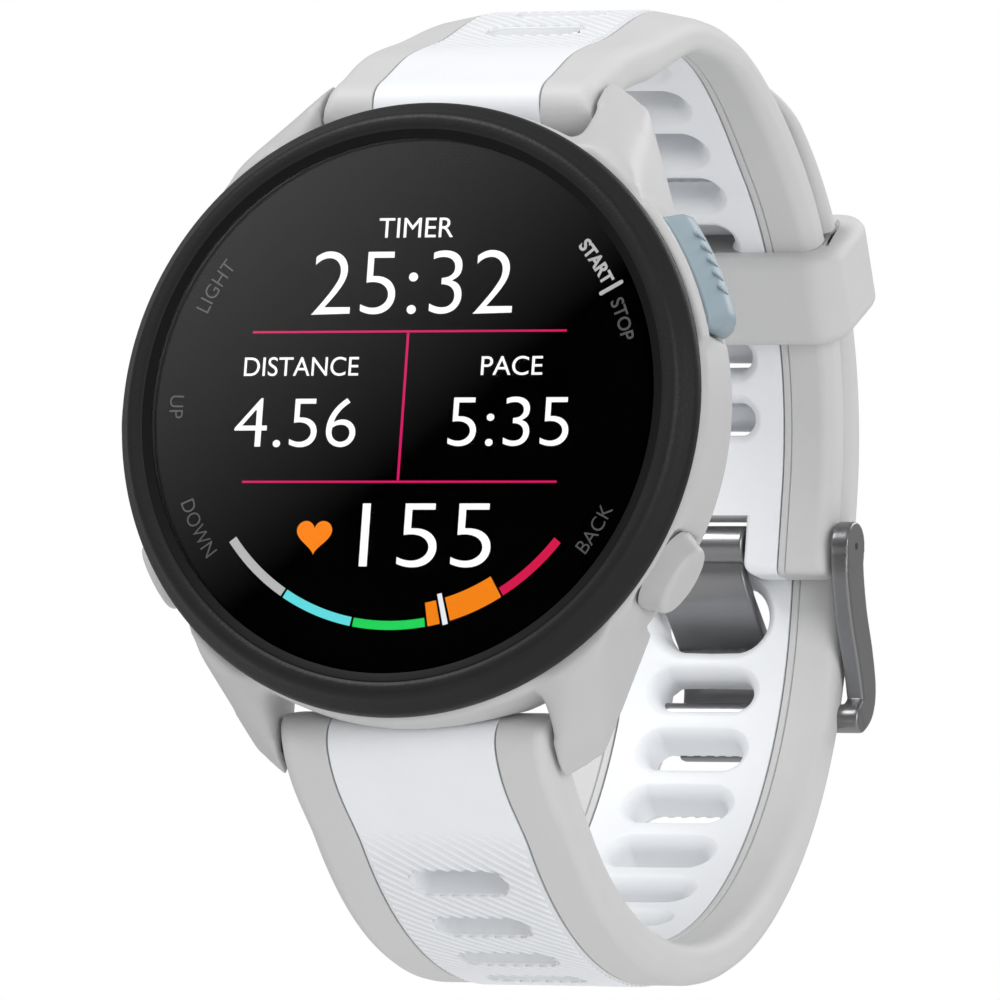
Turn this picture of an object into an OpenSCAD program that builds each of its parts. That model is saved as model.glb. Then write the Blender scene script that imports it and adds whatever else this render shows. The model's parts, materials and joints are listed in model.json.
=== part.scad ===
// GPS running watch, closed on its strap, millimetres.
// Origin: where the dial axis meets the wrist side of the back cover.
// +X points to 3 o'clock, +Z to 12 o'clock and +Y into the wrist, so the display faces -Y.

/* [Case] */
// Outer diameter of the case
case_d = 43; // [42.6:0.1:44]
// From the back cover's plane forward to the bezel's seat
case_h = 7.4; // [7.2:0.1:7.6]
// Outer diameter of the bezel
bezel_d = 42.6; // [42:0.1:42.8]
// Diameter of the visible glass
lens_d = 37.2; // [37:0.1:37.4]
// From the back cover's plane forward to the glass
lens_face = 9.4; // [9.3:0.1:9.6]
// How far the optical sensor stands behind the back cover
sensor_rise = 1.85; // [1.7:0.05:2.2]

/* [Lugs] */
// Distance between the lugs
lug_gap = 20.4; // [20.3:0.1:20.6]
// Spring bar's distance from the dial axis
bar_z = 22.2; // [22:0.1:22.6]
// Spring bar's distance forward of the back cover's plane
bar_fwd = 1.4; // [1.2:0.1:1.6]

/* [Buttons] */
// Inward travel of each button
button_travel = 0.6; // [0.4:0.05:0.65]
// Radius of each button's stem
stem_r = 0.8; // [0.7:0.05:0.9]

/* [Strap] */
// Width of the strap
strap_w = 20; // [19.6:0.1:20]
// Thickness of each strap half
strap_t = 3; // [2.8:0.1:3]
// Width of the white centre insert
insert_w = 12.3; // [11:0.1:13]
// Distance of the loop's two arc centres behind the back cover
loop_y = 22.4; // [22:0.1:23]
// Height of the upper arc's centre
upper_z = 4.3; // [4:0.1:4.6]
// Height of the lower arc's centre
lower_z = -4.6; // [-5:0.1:-4.4]
// Outer radius of the long half's arcs
loop_r = 30.3; // [30:0.1:30.6]
// Width of each adjustment slot
slot_w = 7.2; // [6.5:0.1:7.4]
// Height of each adjustment slot
slot_h = 2.7; // [2.4:0.1:2.8]

/* [Keeper] */
// Thickness of the keeper's band
keeper_t = 1.5; // [1.2:0.1:1.6]
// Angle of the keeper's middle on the upper arc
keeper_angle = 36.8; // [30:0.1:40]
// Angle that the keeper covers
keeper_span = 17; // [15:0.5:18]

/* [Hidden] */
$fn = 96;

// Small amount that keeps a cutter clear of the face it cuts.
eps = 0.01;
// Sliding and running clearance.
fit = 0.05;

case_r = case_d / 2;
bezel_r = bezel_d / 2;
lens_r = lens_d / 2;
cavity_r = 18.2;
cover_r = 18.85;
cover_t = 1;
gasket_t = 0.3;

// Screws that hold the back cover.
screw_angles = [45, 135, 225, 315];
screw_ring_r = 16.6;

// Buttons: dial angle, half of the angle that the cap covers, and half of its depth.
START = [27.4, 11.6, 2.1];
BACK = [-30, 7.2, 1.9];
LIGHT = [150, 7.2, 1.9];
UP = [180, 7.2, 1.9];
DOWN = [210, 7.2, 1.9];
BUTTONS = [START, BACK, LIGHT, UP, DOWN];
button_y = -4.6;
cap_in_r = 21.55;
cap_out_r = 23.1;
pocket_r = cap_in_r - button_travel - 0.15;
pocket_gap = 0.25;
stem_end_r = 17.3;
clip_r = 1.5;
clip_t = 0.4;
clip_face_r = cavity_r - fit;
seal_r = 1.5;
seal_span = [18.9, 19.8];
spring_seat_r = 20.1;
spring_coil_r = 1.25;
spring_wire_r = 0.14;

// Strap loop.
half_w = strap_w / 2;
insert_half = insert_w / 2;
mid_r = loop_r - strap_t / 2;
in_r = loop_r - strap_t;
layer_gap = 0.25;
short_out_r = in_r - layer_gap;
short_in_r = short_out_r - strap_t;
front_r = 49;
front_z = upper_z + short_out_r - front_r;
bar_y = -bar_fwd;
barrel_r = 2.1;
core_r = 1.5;
lug_half = lug_gap / 2;
UPPER = [loop_y, upper_z];
LOWER = [loop_y, lower_z];
FRONT = [loop_y, front_z];
UPPER_BAR = [bar_y, bar_z];
LOWER_BAR = [bar_y, -bar_z];
front_end = 119.5;
lower_start = -141.5;
tail_tip = 80;
tail_round = tail_tip - half_w / mid_r * 180 / PI;
insert_end = tail_round + 11;
tail_slots = 7;
short_end_z = -1.9;
edge_r = 1.1;
slot_pitch = 10;
lower_slots = 12;
first_slot = -121.5;
short_pitch = 10.6;
short_slots = 8;
short_first = 12;
tongue_slot_w = 10.4;
TONGUE_SLOT_Z = [-7.2, -1.9];

// Spring bars.
tube_r = 0.75;
tube_in_r = 0.55;
tube_half = 9.9;
tip_r = 0.45;
tip_reach = 11.3;
release_travel = 1.5;
lever_x = 8.2;
lever_r = 0.4;
lever_len = 2.8;

// Buckle.
PIVOT = [loop_y + (short_in_r + short_out_r) / 2, 0.4];
frame_in = 10.25;
frame_t = 1.4;
ARM_CENTRE = [PIVOT[0] - 1.91, PIVOT[1] - 8.38];
arm_r = 8.6;
arm_w = 2;
ARM_ANGLES = [77.2, -35.8];
boss_r = 1.7;
tongue_w = 7.2;
tongue_flare_w = 8.2;
tongue_flare_top = -2.3;
tongue_t = 1.2;
tongue_barrel_r = 1.45;
tongue_turn = 55;
notch_half = tongue_w / 2 + 0.2;
notch_top = 2.4;

// ---- Placing helpers ----

// Revolves a [radius, y] outline about the dial axis.
module spun() rotate([-90, 0, 0]) rotate_extrude() children();

// Extrudes an [x, z] outline from y0 to y1.
module slab(y0, y1) translate([0, y1, 0]) rotate([90, 0, 0]) linear_extrude(y1 - y0) children();

// Revolves a [radius, y] outline about the dial axis, half each side of a dial angle.
module dial_arc(angle, half)
    rotate([-90, 0, 0]) rotate_extrude(start = -angle - half, angle = 2 * half) children();

// Points children's +X outwards at a dial angle, at a given height.
module at_dial(angle, y) translate([0, y, 0]) rotate([0, -angle, 0]) children();

// A cylinder along the children's X axis.
module rod(x0, x1, r) translate([x0, 0, 0]) rotate([0, 90, 0]) cylinder(h = x1 - x0, r = r);

// Revolves a [radius, x] outline about the X-wise line through c = [y, z].
module swept(c, a0, a1)
    translate([0, c[0], c[1]]) rotate([90, 0, 90]) rotate_extrude(start = a0, angle = a1 - a0) children();

// Extrudes a [radius, x] outline upwards behind the loop's centre line.
module risen(z0, z1)
    translate([0, loop_y, z0]) mirror([1, -1, 0]) linear_extrude(z1 - z0) children();

// Extrudes a [y, z] outline from x0 to x1.
module side(x0, x1) translate([x0, 0, 0]) rotate([90, 0, 90]) linear_extrude(x1 - x0) children();

// Puts children on an arc, with +Y along the radius and +Z along the strap.
module on_arc(c, angle, r)
    translate([0, c[0], c[1]]) rotate([angle, 0, 0]) translate([0, r, 0]) children();

// Puts children on an X-wise line through p = [y, z].
module on_line(p) translate([0, p[0], p[1]]) children();

// A coil along +X from 0 to len.
module coil(len, turns, r, wire) {
    steps = 14;
    sides = 6;
    rings = turns * steps;
    points = [
        for (i = [0:rings], j = [0:sides - 1])
            let (a = 360 * i / steps, b = 360 * j / sides, rr = r + wire * cos(b))
            [wire + (len - 2 * wire) * i / rings + wire * sin(b), rr * cos(a), rr * sin(a)]
    ];
    faces = concat(
        [[for (j = [0:sides - 1]) j]],
        [for (i = [0:rings - 1], j = [0:sides - 1])
            [i * sides + j, (i + 1) * sides + j,
             (i + 1) * sides + (j + 1) % sides, i * sides + (j + 1) % sides]],
        [[for (j = [sides - 1:-1:0]) rings * sides + j]]
    );
    polyhedron(points, faces);
}

// ---- Case ----

module case_ring()
    spun() polygon([
        [cavity_r, -case_h], [case_r - 0.6, -case_h], [case_r, -case_h + 0.6], [case_r, -2.4],
        [case_r - 1, -0.7], [case_r - 2.1, 0], [cover_r + fit, 0],
        [cover_r + fit, -cover_t - gasket_t], [cavity_r, -cover_t - gasket_t]
    ]);

// A lug is the meeting of its front outline and its side outline.
module lug(sx, sz) {
    tip_z = bar_z + 2.4;
    intersection() {
        slab(-case_h, 0.1)
            scale([sx, sz]) polygon([
                [lug_half, 13], [lug_half, tip_z - 0.5], [lug_half + 0.5, tip_z],
                [lug_half + 1.4, tip_z], [lug_half + 2.4, tip_z - 1], [15.9, 14]
            ]);
        side(sx > 0 ? 9 : -17, sx > 0 ? 17 : -9)
            scale([1, sz]) polygon([
                [-case_h, 12], [-case_h, 18.4], [-5.8, 19.7], [bar_y - 0.3, tip_z - 0.6],
                [bar_y + 0.6, tip_z], [-0.4, tip_z - 0.7], [0, tip_z - 1.8], [0, 12]
            ]);
    }
}

module screw_posts()
    for (a = screw_angles)
        at_dial(a, 0) translate([screw_ring_r, -5, 0]) rotate([-90, 0, 0]) cylinder(h = 5 - cover_t, r = 1.6);

module case_middle() color("lightgray")
    difference() {
        union() {
            case_ring();
            for (sx = [-1, 1], sz = [-1, 1]) difference() {
                lug(sx, sz);
                spun() square([cavity_r + 1, 60], center = false);
                slab(-case_h - 1, 1) circle(cavity_r + 1);
            }
            intersection() {
                screw_posts();
                slab(-6, 0) circle(cavity_r + 0.5);
            }
        }
        // Room for the strap's barrels, and holes for the spring bar tips.
        for (p = [UPPER_BAR, LOWER_BAR]) on_line(p) {
            rod(-lug_half, lug_half, barrel_r + 0.35);
            rod(-tip_reach - 0.2, tip_reach + 0.2, tip_r + fit);
        }
        // Button bores, seal seats, spring seats and cap pockets.
        for (b = BUTTONS) {
            at_dial(b[0], button_y) {
                rod(cavity_r - 1, case_r + 1, stem_r + fit);
                rod(seal_span[0], seal_span[1], seal_r);
                rod(spring_seat_r, case_r + 1, spring_coil_r + 0.35);
            }
            dial_arc(b[0], b[1] + 0.7)
                translate([pocket_r, button_y - b[2] - pocket_gap])
                    square([case_r + 1 - pocket_r, 2 * (b[2] + pocket_gap)]);
        }
        for (a = screw_angles)
            at_dial(a, 0) translate([screw_ring_r, -4.2, 0]) rotate([-90, 0, 0]) cylinder(h = 4.2, r = 0.6);
        // Barometer port.
        at_dial(300, -4.4) {
            rod(cavity_r - 1, case_r + 1, 0.4);
            rod(cavity_r - 1, cavity_r + 0.4, 1);
        }
    }

module bezel() color("#1c1c1e")
    spun() polygon([
        [lens_r - 0.9, -8.4], [lens_r + fit, -8.4], [lens_r + fit, -lens_face + 0.05],
        [lens_r + 0.4, -9.7], [lens_r + 0.95, -9.75], [bezel_r - 0.7, -9.25], [bezel_r - 0.2, -8.5],
        [bezel_r, -7.8], [bezel_r - 0.2, -case_h], [lens_r - 0.9, -case_h]
    ]);

module lens() color("#101012") slab(-lens_face, -8.6) circle(lens_r);

module lens_adhesive() color("dimgray")
    slab(-8.6, -8.4) difference() {
        circle(lens_r - 0.05);
        circle(lens_r - 0.85);
    }

module display_panel() color("black") slab(-8.6, -7.5) circle(16.9);

module display_backplate() color("silver") slab(-7.5, -7.2) circle(16.9);

module display_flex() color("darkorange") slab(-7.2, -6.9) translate([-4, -15]) square([8, 9]);

module inner_frame() color("gray")
    difference() {
        slab(-7.2, -6.3) difference() {
            circle(cavity_r - 0.1);
            circle(16.9);
        }
        for (a = [90, 270]) at_dial(a, -6.75) translate([17, -0.2, -3]) cube([2, 1, 6]);
    }

module main_board() color("darkgreen") slab(-6.9, -6.1) circle(16.85);

module shield_cans() color("silver") {
    slab(-6.1, -4.9) translate([-10.5, -8]) square([9.5, 8]);
    slab(-6.1, -4.9) translate([-10.5, 1]) square([8, 7]);
    slab(-6.1, -5.1) translate([0.5, -8]) square([8, 15]);
}

module battery() color("lightsteelblue") slab(-4.7, -1.5) translate([-9.5, -9]) square([19, 20]);

module battery_pad() color("black") slab(-1.5, -0.6) circle(8);

module gnss_antenna() color("goldenrod")
    dial_arc(90, 30) translate([17.2, -5.9]) square([0.9, 3.9]);

module piezo_sounder() color("gold")
    slab(-4.7, -3.7) translate([0, 14]) circle(2.7);

motor_x = 13.3;

module motor_can() color("silver")
    difference() {
        slab(-4.6, -1.6) translate([motor_x, 0]) circle(3.4);
        slab(-4.3, -1.9) translate([motor_x, 0]) circle(3.1);
    }

// The off-centre weight turns on a fixed pin's line inside the can.
module motor_rotor() color("dimgray")
    slab(-4.15, -2.05) translate([motor_x, 0]) union() {
        circle(0.8);
        intersection() {
            circle(2.9);
            translate([0, -3]) square([3, 6]);
        }
    }

module pressure_vent() color("white") at_dial(300, -4.4) rod(cavity_r, cavity_r + 0.35, 0.95);

// ---- Back ----

port_z = -13.4;

module port_outline(grow) translate([-5.3 - grow, port_z - 2.8 - grow])
    square([10.6 + 2 * grow, 5.6 + 2 * grow]);

module back_cover() color("whitesmoke")
    difference() {
        spun() polygon([
            [9.4, -cover_t], [cover_r, -cover_t], [cover_r, -0.3], [cover_r - 0.4, 0], [12.2, 0],
            [10.6, sensor_rise - 0.65], [9.6, sensor_rise - 0.2], [7.65, sensor_rise - 0.1],
            [7.65, 0.9], [6.9, 0.9], [6.9, 0.55], [9.4, 0.55]
        ]);
        slab(-2, 1) port_outline(fit);
        for (a = screw_angles) at_dial(a, 0) translate([screw_ring_r, 0, 0]) rotate([-90, 0, 0]) {
            translate([0, 0, -1 - cover_t]) cylinder(h = 3, r = 0.6);
            translate([0, 0, -0.6]) cylinder(h = 2, r = 1.15);
        }
    }

module back_gasket() color("dimgray")
    slab(-cover_t - gasket_t, -cover_t) difference() {
        circle(cover_r - 0.05);
        circle(cavity_r + 0.1);
    }

module back_screws() color("gray")
    for (a = screw_angles) at_dial(a, 0) translate([screw_ring_r, 0, 0]) rotate([-90, 0, 0])
        difference() {
            union() {
                translate([0, 0, -3.8]) cylinder(h = 3.4, r = 0.55);
                translate([0, 0, -0.6]) cylinder(h = 0.45, r = 1.1);
            }
            translate([0, 0, -0.4]) cylinder(h = 1, r = 0.5, $fn = 6);
        }

module sensor_window() color("#202024")
    spun() polygon([
        [0, 0.92], [7.6, 0.92], [7.6, sensor_rise - 0.2], [6.6, sensor_rise], [0, sensor_rise]
    ]);

module sensor_board() color("darkgreen") slab(-0.6, 0.3) circle(9.2);

module sensor_emitters() color("palegreen")
    for (p = [[0, 0], [4.4, 0], [-4.4, 0]])
        slab(0.3, 0.8) translate(p) square(1.6, center = true);

module sensor_detectors() color("black")
    for (a = [45, 135, 225, 315])
        slab(0.3, 0.75) rotate(a) translate([4, 0]) square([1.8, 2.4], center = true);

module charge_port_insert() color("#303030")
    difference() {
        slab(-2.2, 0) port_outline(0);
        slab(-1.4, 1) translate([-4.5, port_z - 2]) square([9, 4]);
        for (x = [-3, -1, 1, 3])
            translate([x, -3, port_z]) rotate([-90, 0, 0]) cylinder(h = 3, r = 0.5 + 0.02);
    }

module charge_contacts() color("gold")
    for (x = [-3, -1, 1, 3])
        translate([x, -2.6, port_z]) rotate([-90, 0, 0]) cylinder(h = 1.5, r = 0.5);

// ---- Buttons ----

// The start cap is a long bar with sloped faces that follows the case.
module bar_cap(b)
    dial_arc(b[0], b[1]) polygon([
        [cap_in_r, button_y - b[2]], [cap_in_r + 0.7, button_y - b[2]],
        [cap_out_r, button_y - 0.5], [cap_out_r, button_y + 0.7],
        [cap_in_r + 0.9, button_y + b[2]], [cap_in_r, button_y + b[2]]
    ]);

// The other caps are ovals that follow the case.
module oval_cap(b)
    intersection() {
        dial_arc(b[0], b[1] + 1) polygon([
            [cap_in_r, button_y - b[2]], [cap_in_r + 0.8, button_y - b[2]],
            [cap_out_r - 0.1, button_y - 0.8], [cap_out_r - 0.1, button_y + 0.8],
            [cap_in_r + 0.8, button_y + b[2]], [cap_in_r, button_y + b[2]]
        ]);
        at_dial(b[0], button_y) rod(cap_in_r - 2, cap_out_r + 1, 2.75);
    }

module stem(b)
    at_dial(b[0], button_y) difference() {
        rod(stem_end_r, cap_in_r + 0.3, stem_r);
        difference() {
            rod(clip_face_r - clip_t - 0.02, clip_face_r + 0.02, stem_r + 1);
            rod(0, clip_face_r + 1, stem_r - 0.25);
        }
    }

module clip(b)
    at_dial(b[0], button_y) difference() {
        rod(clip_face_r - clip_t, clip_face_r, clip_r);
        rod(0, clip_face_r + 1, stem_r - 0.23);
        translate([clip_face_r - 1, 0, -0.35]) cube([2, 3, 0.7]);
    }

module return_spring(b)
    at_dial(b[0], button_y) translate([spring_seat_r + 0.02, 0, 0])
        coil(cap_in_r - spring_seat_r - 0.04, 3, spring_coil_r, spring_wire_r);

module start_button() color("lightslategray") union() { bar_cap(START); stem(START); }
module back_button() color("silver") union() { oval_cap(BACK); stem(BACK); }
module light_button() color("silver") union() { oval_cap(LIGHT); stem(LIGHT); }
module up_button() color("silver") union() { oval_cap(UP); stem(UP); }
module down_button() color("silver") union() { oval_cap(DOWN); stem(DOWN); }

module start_spring() color("gray") return_spring(START);
module back_spring() color("gray") return_spring(BACK);
module light_spring() color("gray") return_spring(LIGHT);
module up_spring() color("gray") return_spring(UP);
module down_spring() color("gray") return_spring(DOWN);

module start_clip() color("gray") clip(START);
module back_clip() color("gray") clip(BACK);
module light_clip() color("gray") clip(LIGHT);
module up_clip() color("gray") clip(UP);
module down_clip() color("gray") clip(DOWN);

module button_seals() color("black")
    for (b = BUTTONS) at_dial(b[0], button_y) difference() {
        rod(seal_span[0], seal_span[1], seal_r);
        rod(0, case_r, stem_r + fit);
    }

module button_switches() color("dimgray")
    for (b = BUTTONS) at_dial(b[0], 0) {
        translate([15.2, -6.1, -1.5]) cube([1.2, 2.3, 3]);
        translate([0, button_y, 0]) rod(16.4, 16.65, 0.5);
    }

module switch_flex() color("darkorange")
    dial_arc(180, 36) translate([14.95, -6.1]) square([0.25, 2]);

// ---- Spring bars ----

// inward: direction, as an angle in the side view, from the bar to the wrist side.
module bar_tube(p, inward)
    on_line(p) difference() {
        union() {
            rod(-tube_half, tube_half, tube_r);
            rod(-tip_reach, -tube_half + eps, tip_r);
        }
        rod(1, tube_half + 1, tube_in_r);
        rotate([inward, 0, 0]) translate([lever_x - release_travel - lever_r - 0.05, 0, -0.45])
            cube([release_travel + 2 * lever_r + 0.1, 2, 0.9]);
    }

module release_pin(p, inward)
    on_line(p) {
        rod(5, tube_half, tube_in_r - fit);
        rod(tube_half - eps, tip_reach, tip_r);
        rotate([inward, 0, 0]) translate([lever_x, 0, 0]) rotate([-90, 0, 0])
            cylinder(h = lever_len, r = lever_r);
    }

module bar_spring(p) on_line(p) translate([1.02, 0, 0]) coil(3.96, 8, 0.36, 0.09);

upper_inward = atan2(front_z - bar_z, loop_y - bar_y);
lower_inward = atan2(lower_z + bar_z, loop_y - bar_y);

module upper_bar_tube() color("silver") bar_tube(UPPER_BAR, upper_inward);
module upper_release_pin() color("gray") release_pin(UPPER_BAR, upper_inward);
module upper_bar_spring() color("gray") bar_spring(UPPER_BAR);
module lower_bar_tube() color("silver") bar_tube(LOWER_BAR, lower_inward);
module lower_release_pin() color("gray") release_pin(LOWER_BAR, lower_inward);
module lower_bar_spring() color("gray") bar_spring(LOWER_BAR);

// ---- Strap ----

// Cross-section of both rails, from r0 to r1, with rounded outer edges.
module rails_section(r0, r1)
    for (s = [-1, 1]) scale([1, s]) union() {
        translate([r0, insert_half]) square([r1 - r0, half_w - edge_r - insert_half]);
        translate([r0 + edge_r, insert_half]) square([r1 - r0 - 2 * edge_r, half_w - insert_half]);
        for (r = [r0 + edge_r, r1 - edge_r]) translate([r, half_w - edge_r]) circle(edge_r);
    }

module insert_section(r0, r1) translate([r0, -insert_half]) square([r1 - r0, insert_w]);

// A through slot with round ends, along the children's Y axis.
module slot(w, h) {
    for (s = [-1, 1]) translate([s * (w - h) / 2, 0, 0]) rotate([90, 0, 0])
        cylinder(h = 8, r = h / 2, center = true, $fn = 32);
    cube([w - h, 8, h], center = true);
}

// The passage in a strap end that the quick-release lever slides along.
module lever_passage(p, inward)
    on_line(p) rotate([inward, 0, 0])
        translate([lever_x - release_travel - lever_r - 0.05, 0, -0.5])
            cube([release_travel + 2 * lever_r + 0.1, 5, 1]);

module bar_bore(p) on_line(p) rod(-half_w - 1, half_w + 1, tube_r + fit);

// The end of a strap half round its spring bar: the rails' part and the insert's part.
module rail_barrel(p) on_line(p) {
    rod(-half_w, -insert_half, barrel_r);
    rod(insert_half, half_w, barrel_r);
    rod(-half_w, half_w, core_r);
}
module insert_barrel(p) on_line(p) rod(-insert_half, insert_half, barrel_r);
module barrel_core(p) on_line(p) rod(-insert_half - eps, insert_half + eps, core_r);

module upper_strap_rails() color("lightgray")
    difference() {
        union() {
            swept(UPPER, 0, 90) rails_section(short_in_r, short_out_r);
            swept(FRONT, 90, front_end) rails_section(front_r - strap_t, front_r);
            risen(short_end_z, upper_z) rails_section(short_in_r, short_out_r);
            rail_barrel(UPPER_BAR);
        }
        bar_bore(UPPER_BAR);
        bar_bore(PIVOT);
        lever_passage(UPPER_BAR, upper_inward);
    }

module upper_strap_insert() color("whitesmoke")
    difference() {
        union() {
            swept(UPPER, 0, 90) insert_section(short_in_r, short_out_r);
            swept(FRONT, 90, front_end) insert_section(front_r - strap_t, front_r);
            risen(short_end_z, upper_z) insert_section(short_in_r, short_out_r);
            insert_barrel(UPPER_BAR);
        }
        barrel_core(UPPER_BAR);
        bar_bore(PIVOT);
        translate([-notch_half, PIVOT[0] - 4, short_end_z - 1])
            cube([2 * notch_half, 8, notch_top - short_end_z + 1]);
        for (i = [0:short_slots - 1])
            on_arc(UPPER, short_first + i * short_pitch, short_out_r - strap_t / 2) slot(slot_w, slot_h);
        for (i = [1:3])
            on_arc(FRONT, 88.1 + i * 5.7, front_r - strap_t / 2) slot(slot_w, slot_h);
    }

// Cross-section of the tail's end, where the rails close round the insert.
module end_section(r0, r1) {
    rails_section(r0, r1);
    insert_section(r0, r1);
}

// What rounding the tail's end takes away, seen from outside.
module tail_corners()
    on_arc(UPPER, tail_round, mid_r) rotate([90, 0, 0])
        linear_extrude(6 * strap_t, center = true) difference() {
            translate([-half_w - 2, 0]) square([strap_w + 4, half_w + 6]);
            circle(half_w + 0.15);
        }

module lower_strap_rails() color("lightgray")
    difference() {
        union() {
            swept(LOWER, lower_start, 0) rails_section(in_r, loop_r);
            risen(lower_z, upper_z) rails_section(in_r, loop_r);
            swept(UPPER, 0, insert_end) rails_section(in_r, loop_r);
            swept(UPPER, insert_end, tail_tip + 4) end_section(in_r, loop_r);
            rail_barrel(LOWER_BAR);
        }
        tail_corners();
        bar_bore(LOWER_BAR);
        lever_passage(LOWER_BAR, lower_inward);
    }

module lower_strap_insert() color("whitesmoke")
    difference() {
        union() {
            swept(LOWER, lower_start, 0) insert_section(in_r, loop_r);
            risen(lower_z, upper_z) insert_section(in_r, loop_r);
            swept(UPPER, 0, insert_end) insert_section(in_r, loop_r);
            insert_barrel(LOWER_BAR);
        }
        barrel_core(LOWER_BAR);
        for (i = [0:lower_slots - 1])
            on_arc(LOWER, first_slot + i * slot_pitch, mid_r) slot(slot_w, slot_h);
        translate([0, loop_y + mid_r, (TONGUE_SLOT_Z[0] + TONGUE_SLOT_Z[1]) / 2])
            slot(tongue_slot_w, TONGUE_SLOT_Z[1] - TONGUE_SLOT_Z[0]);
        translate([0, loop_y + mid_r, 1.2]) slot(slot_w, slot_h);
        for (i = [0:tail_slots - 1]) on_arc(UPPER, 3 + i * slot_pitch, mid_r) slot(slot_w, slot_h);
    }

// The keeper's section is a closed frame round both layers of the strap.
module keeper_section() {
    r0 = short_in_r - 0.2;
    r1 = loop_r + 0.2;
    w = half_w + 0.25;
    difference() {
        translate([r0 - keeper_t, -w - keeper_t]) square([r1 - r0 + 2 * keeper_t, 2 * (w + keeper_t)]);
        translate([r0, -w]) square([r1 - r0, 2 * w]);
    }
}

module keeper() color("lightgray")
    swept(UPPER, keeper_angle - keeper_span / 2, keeper_angle + keeper_span / 2) keeper_section();

// ---- Buckle ----

// Side outline of the frame's arm, an arc from the bar to the far end.
module arm_outline()
    translate(ARM_CENTRE) intersection() {
        difference() {
            circle(arm_r + arm_w / 2);
            circle(arm_r - arm_w / 2);
        }
        polygon([
            [0, 0], 20 * [cos(ARM_ANGLES[0]), sin(ARM_ANGLES[0])], [20, 12], [20, -12],
            20 * [cos(ARM_ANGLES[1]), sin(ARM_ANGLES[1])]
        ]);
    }

FAR_BAR = ARM_CENTRE + arm_r * [cos(ARM_ANGLES[1]), sin(ARM_ANGLES[1])];
far_bar_r = 1;

module buckle_frame() color("gray")
    difference() {
        union() {
            for (s = [-1, 1]) {
                x0 = s > 0 ? frame_in : -frame_in - frame_t;
                side(x0, x0 + frame_t) arm_outline();
                on_line(PIVOT) rod(x0, x0 + frame_t, boss_r);
            }
            on_line(FAR_BAR) rod(-frame_in - frame_t, frame_in + frame_t, far_bar_r);
        }
        on_line(PIVOT) rod(-frame_in - 5, frame_in + 5, tip_r + fit);
    }

module buckle_bar() color("silver")
    on_line(PIVOT) {
        rod(-half_w - 0.1, half_w + 0.1, tube_r);
        rod(-frame_in - 0.9, frame_in + 0.9, tip_r);
    }

// The tongue leaves its barrel downwards, turns out through the slot and comes
// to lie on the outside of the frame's far bar. It is wider below the strap's end.
module tongue_outline() {
    r1 = 3;
    r2 = 5;
    run = 4.1;
    start = [PIVOT[0] + 0.05, -1];
    c1 = start + [r1, 0];
    p1 = c1 + r1 * [cos(180 + tongue_turn), sin(180 + tongue_turn)];
    p2 = p1 + run * [sin(tongue_turn), -cos(tongue_turn)];
    c2 = p2 - r2 * [cos(tongue_turn), sin(tongue_turn)];
    h = tongue_t / 2;
    translate([start[0] - h, start[1] - eps]) square([tongue_t, 0.6]);
    translate(c1) intersection() {
        difference() {
            circle(r1 + h);
            circle(r1 - h);
        }
        polygon([[0, 0], [-9, 0], [-9, -9], 9 * [cos(180 + tongue_turn), sin(180 + tongue_turn)]]);
    }
    translate(p1) rotate(tongue_turn - 90) translate([-eps, -h]) square([run + 2 * eps, tongue_t]);
    translate(c2) intersection() {
        difference() {
            circle(r2 + h);
            circle(r2 - h);
        }
        polygon([[0, 0], 15 * [cos(tongue_turn), sin(tongue_turn)], [15, 0]]);
    }
    translate([c2[0] + r2 - h, c2[1] - 4.4]) square([tongue_t, 4.4 + eps]);
}

module buckle_tongue() color("gray")
    difference() {
        union() {
            side(-tongue_w / 2, tongue_w / 2) tongue_outline();
            side(-tongue_flare_w / 2, tongue_flare_w / 2) intersection() {
                tongue_outline();
                translate([PIVOT[0], tongue_flare_top - 20]) square([20, 20]);
            }
            on_line(PIVOT) rod(-tongue_w / 2, tongue_w / 2, tongue_barrel_r);
        }
        on_line(PIVOT) rod(-half_w, half_w, tube_r + fit);
    }

case_middle();
bezel();
lens();
lens_adhesive();
display_panel();
display_backplate();
display_flex();
inner_frame();
battery();
battery_pad();
main_board();
shield_cans();
gnss_antenna();
piezo_sounder();
motor_can();
motor_rotor();
pressure_vent();
back_cover();
back_gasket();
back_screws();
sensor_window();
sensor_board();
sensor_emitters();
sensor_detectors();
charge_port_insert();
charge_contacts();
button_seals();
button_switches();
switch_flex();
start_button();
back_button();
light_button();
up_button();
down_button();
start_spring();
back_spring();
light_spring();
up_spring();
down_spring();
start_clip();
back_clip();
light_clip();
up_clip();
down_clip();
upper_bar_tube();
upper_release_pin();
upper_bar_spring();
lower_bar_tube();
lower_release_pin();
lower_bar_spring();
upper_strap_rails();
upper_strap_insert();
lower_strap_rails();
lower_strap_insert();
keeper();
buckle_frame();
buckle_bar();
buckle_tongue();
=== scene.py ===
"""GPS running watch: the visible pieces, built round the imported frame.

The file is laid out as an add-on. Each operator builds one piece or one group of like pieces.
Sizes in the code are millimetres unless a name ends in _m, and MM turns them into metres.
The display faces -Y, 12 o'clock is +Z, 3 o'clock is +X and the wrist is on the +Y side.
"""
import json
import math

import bmesh
import bpy
from mathutils import Matrix, Vector


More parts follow.
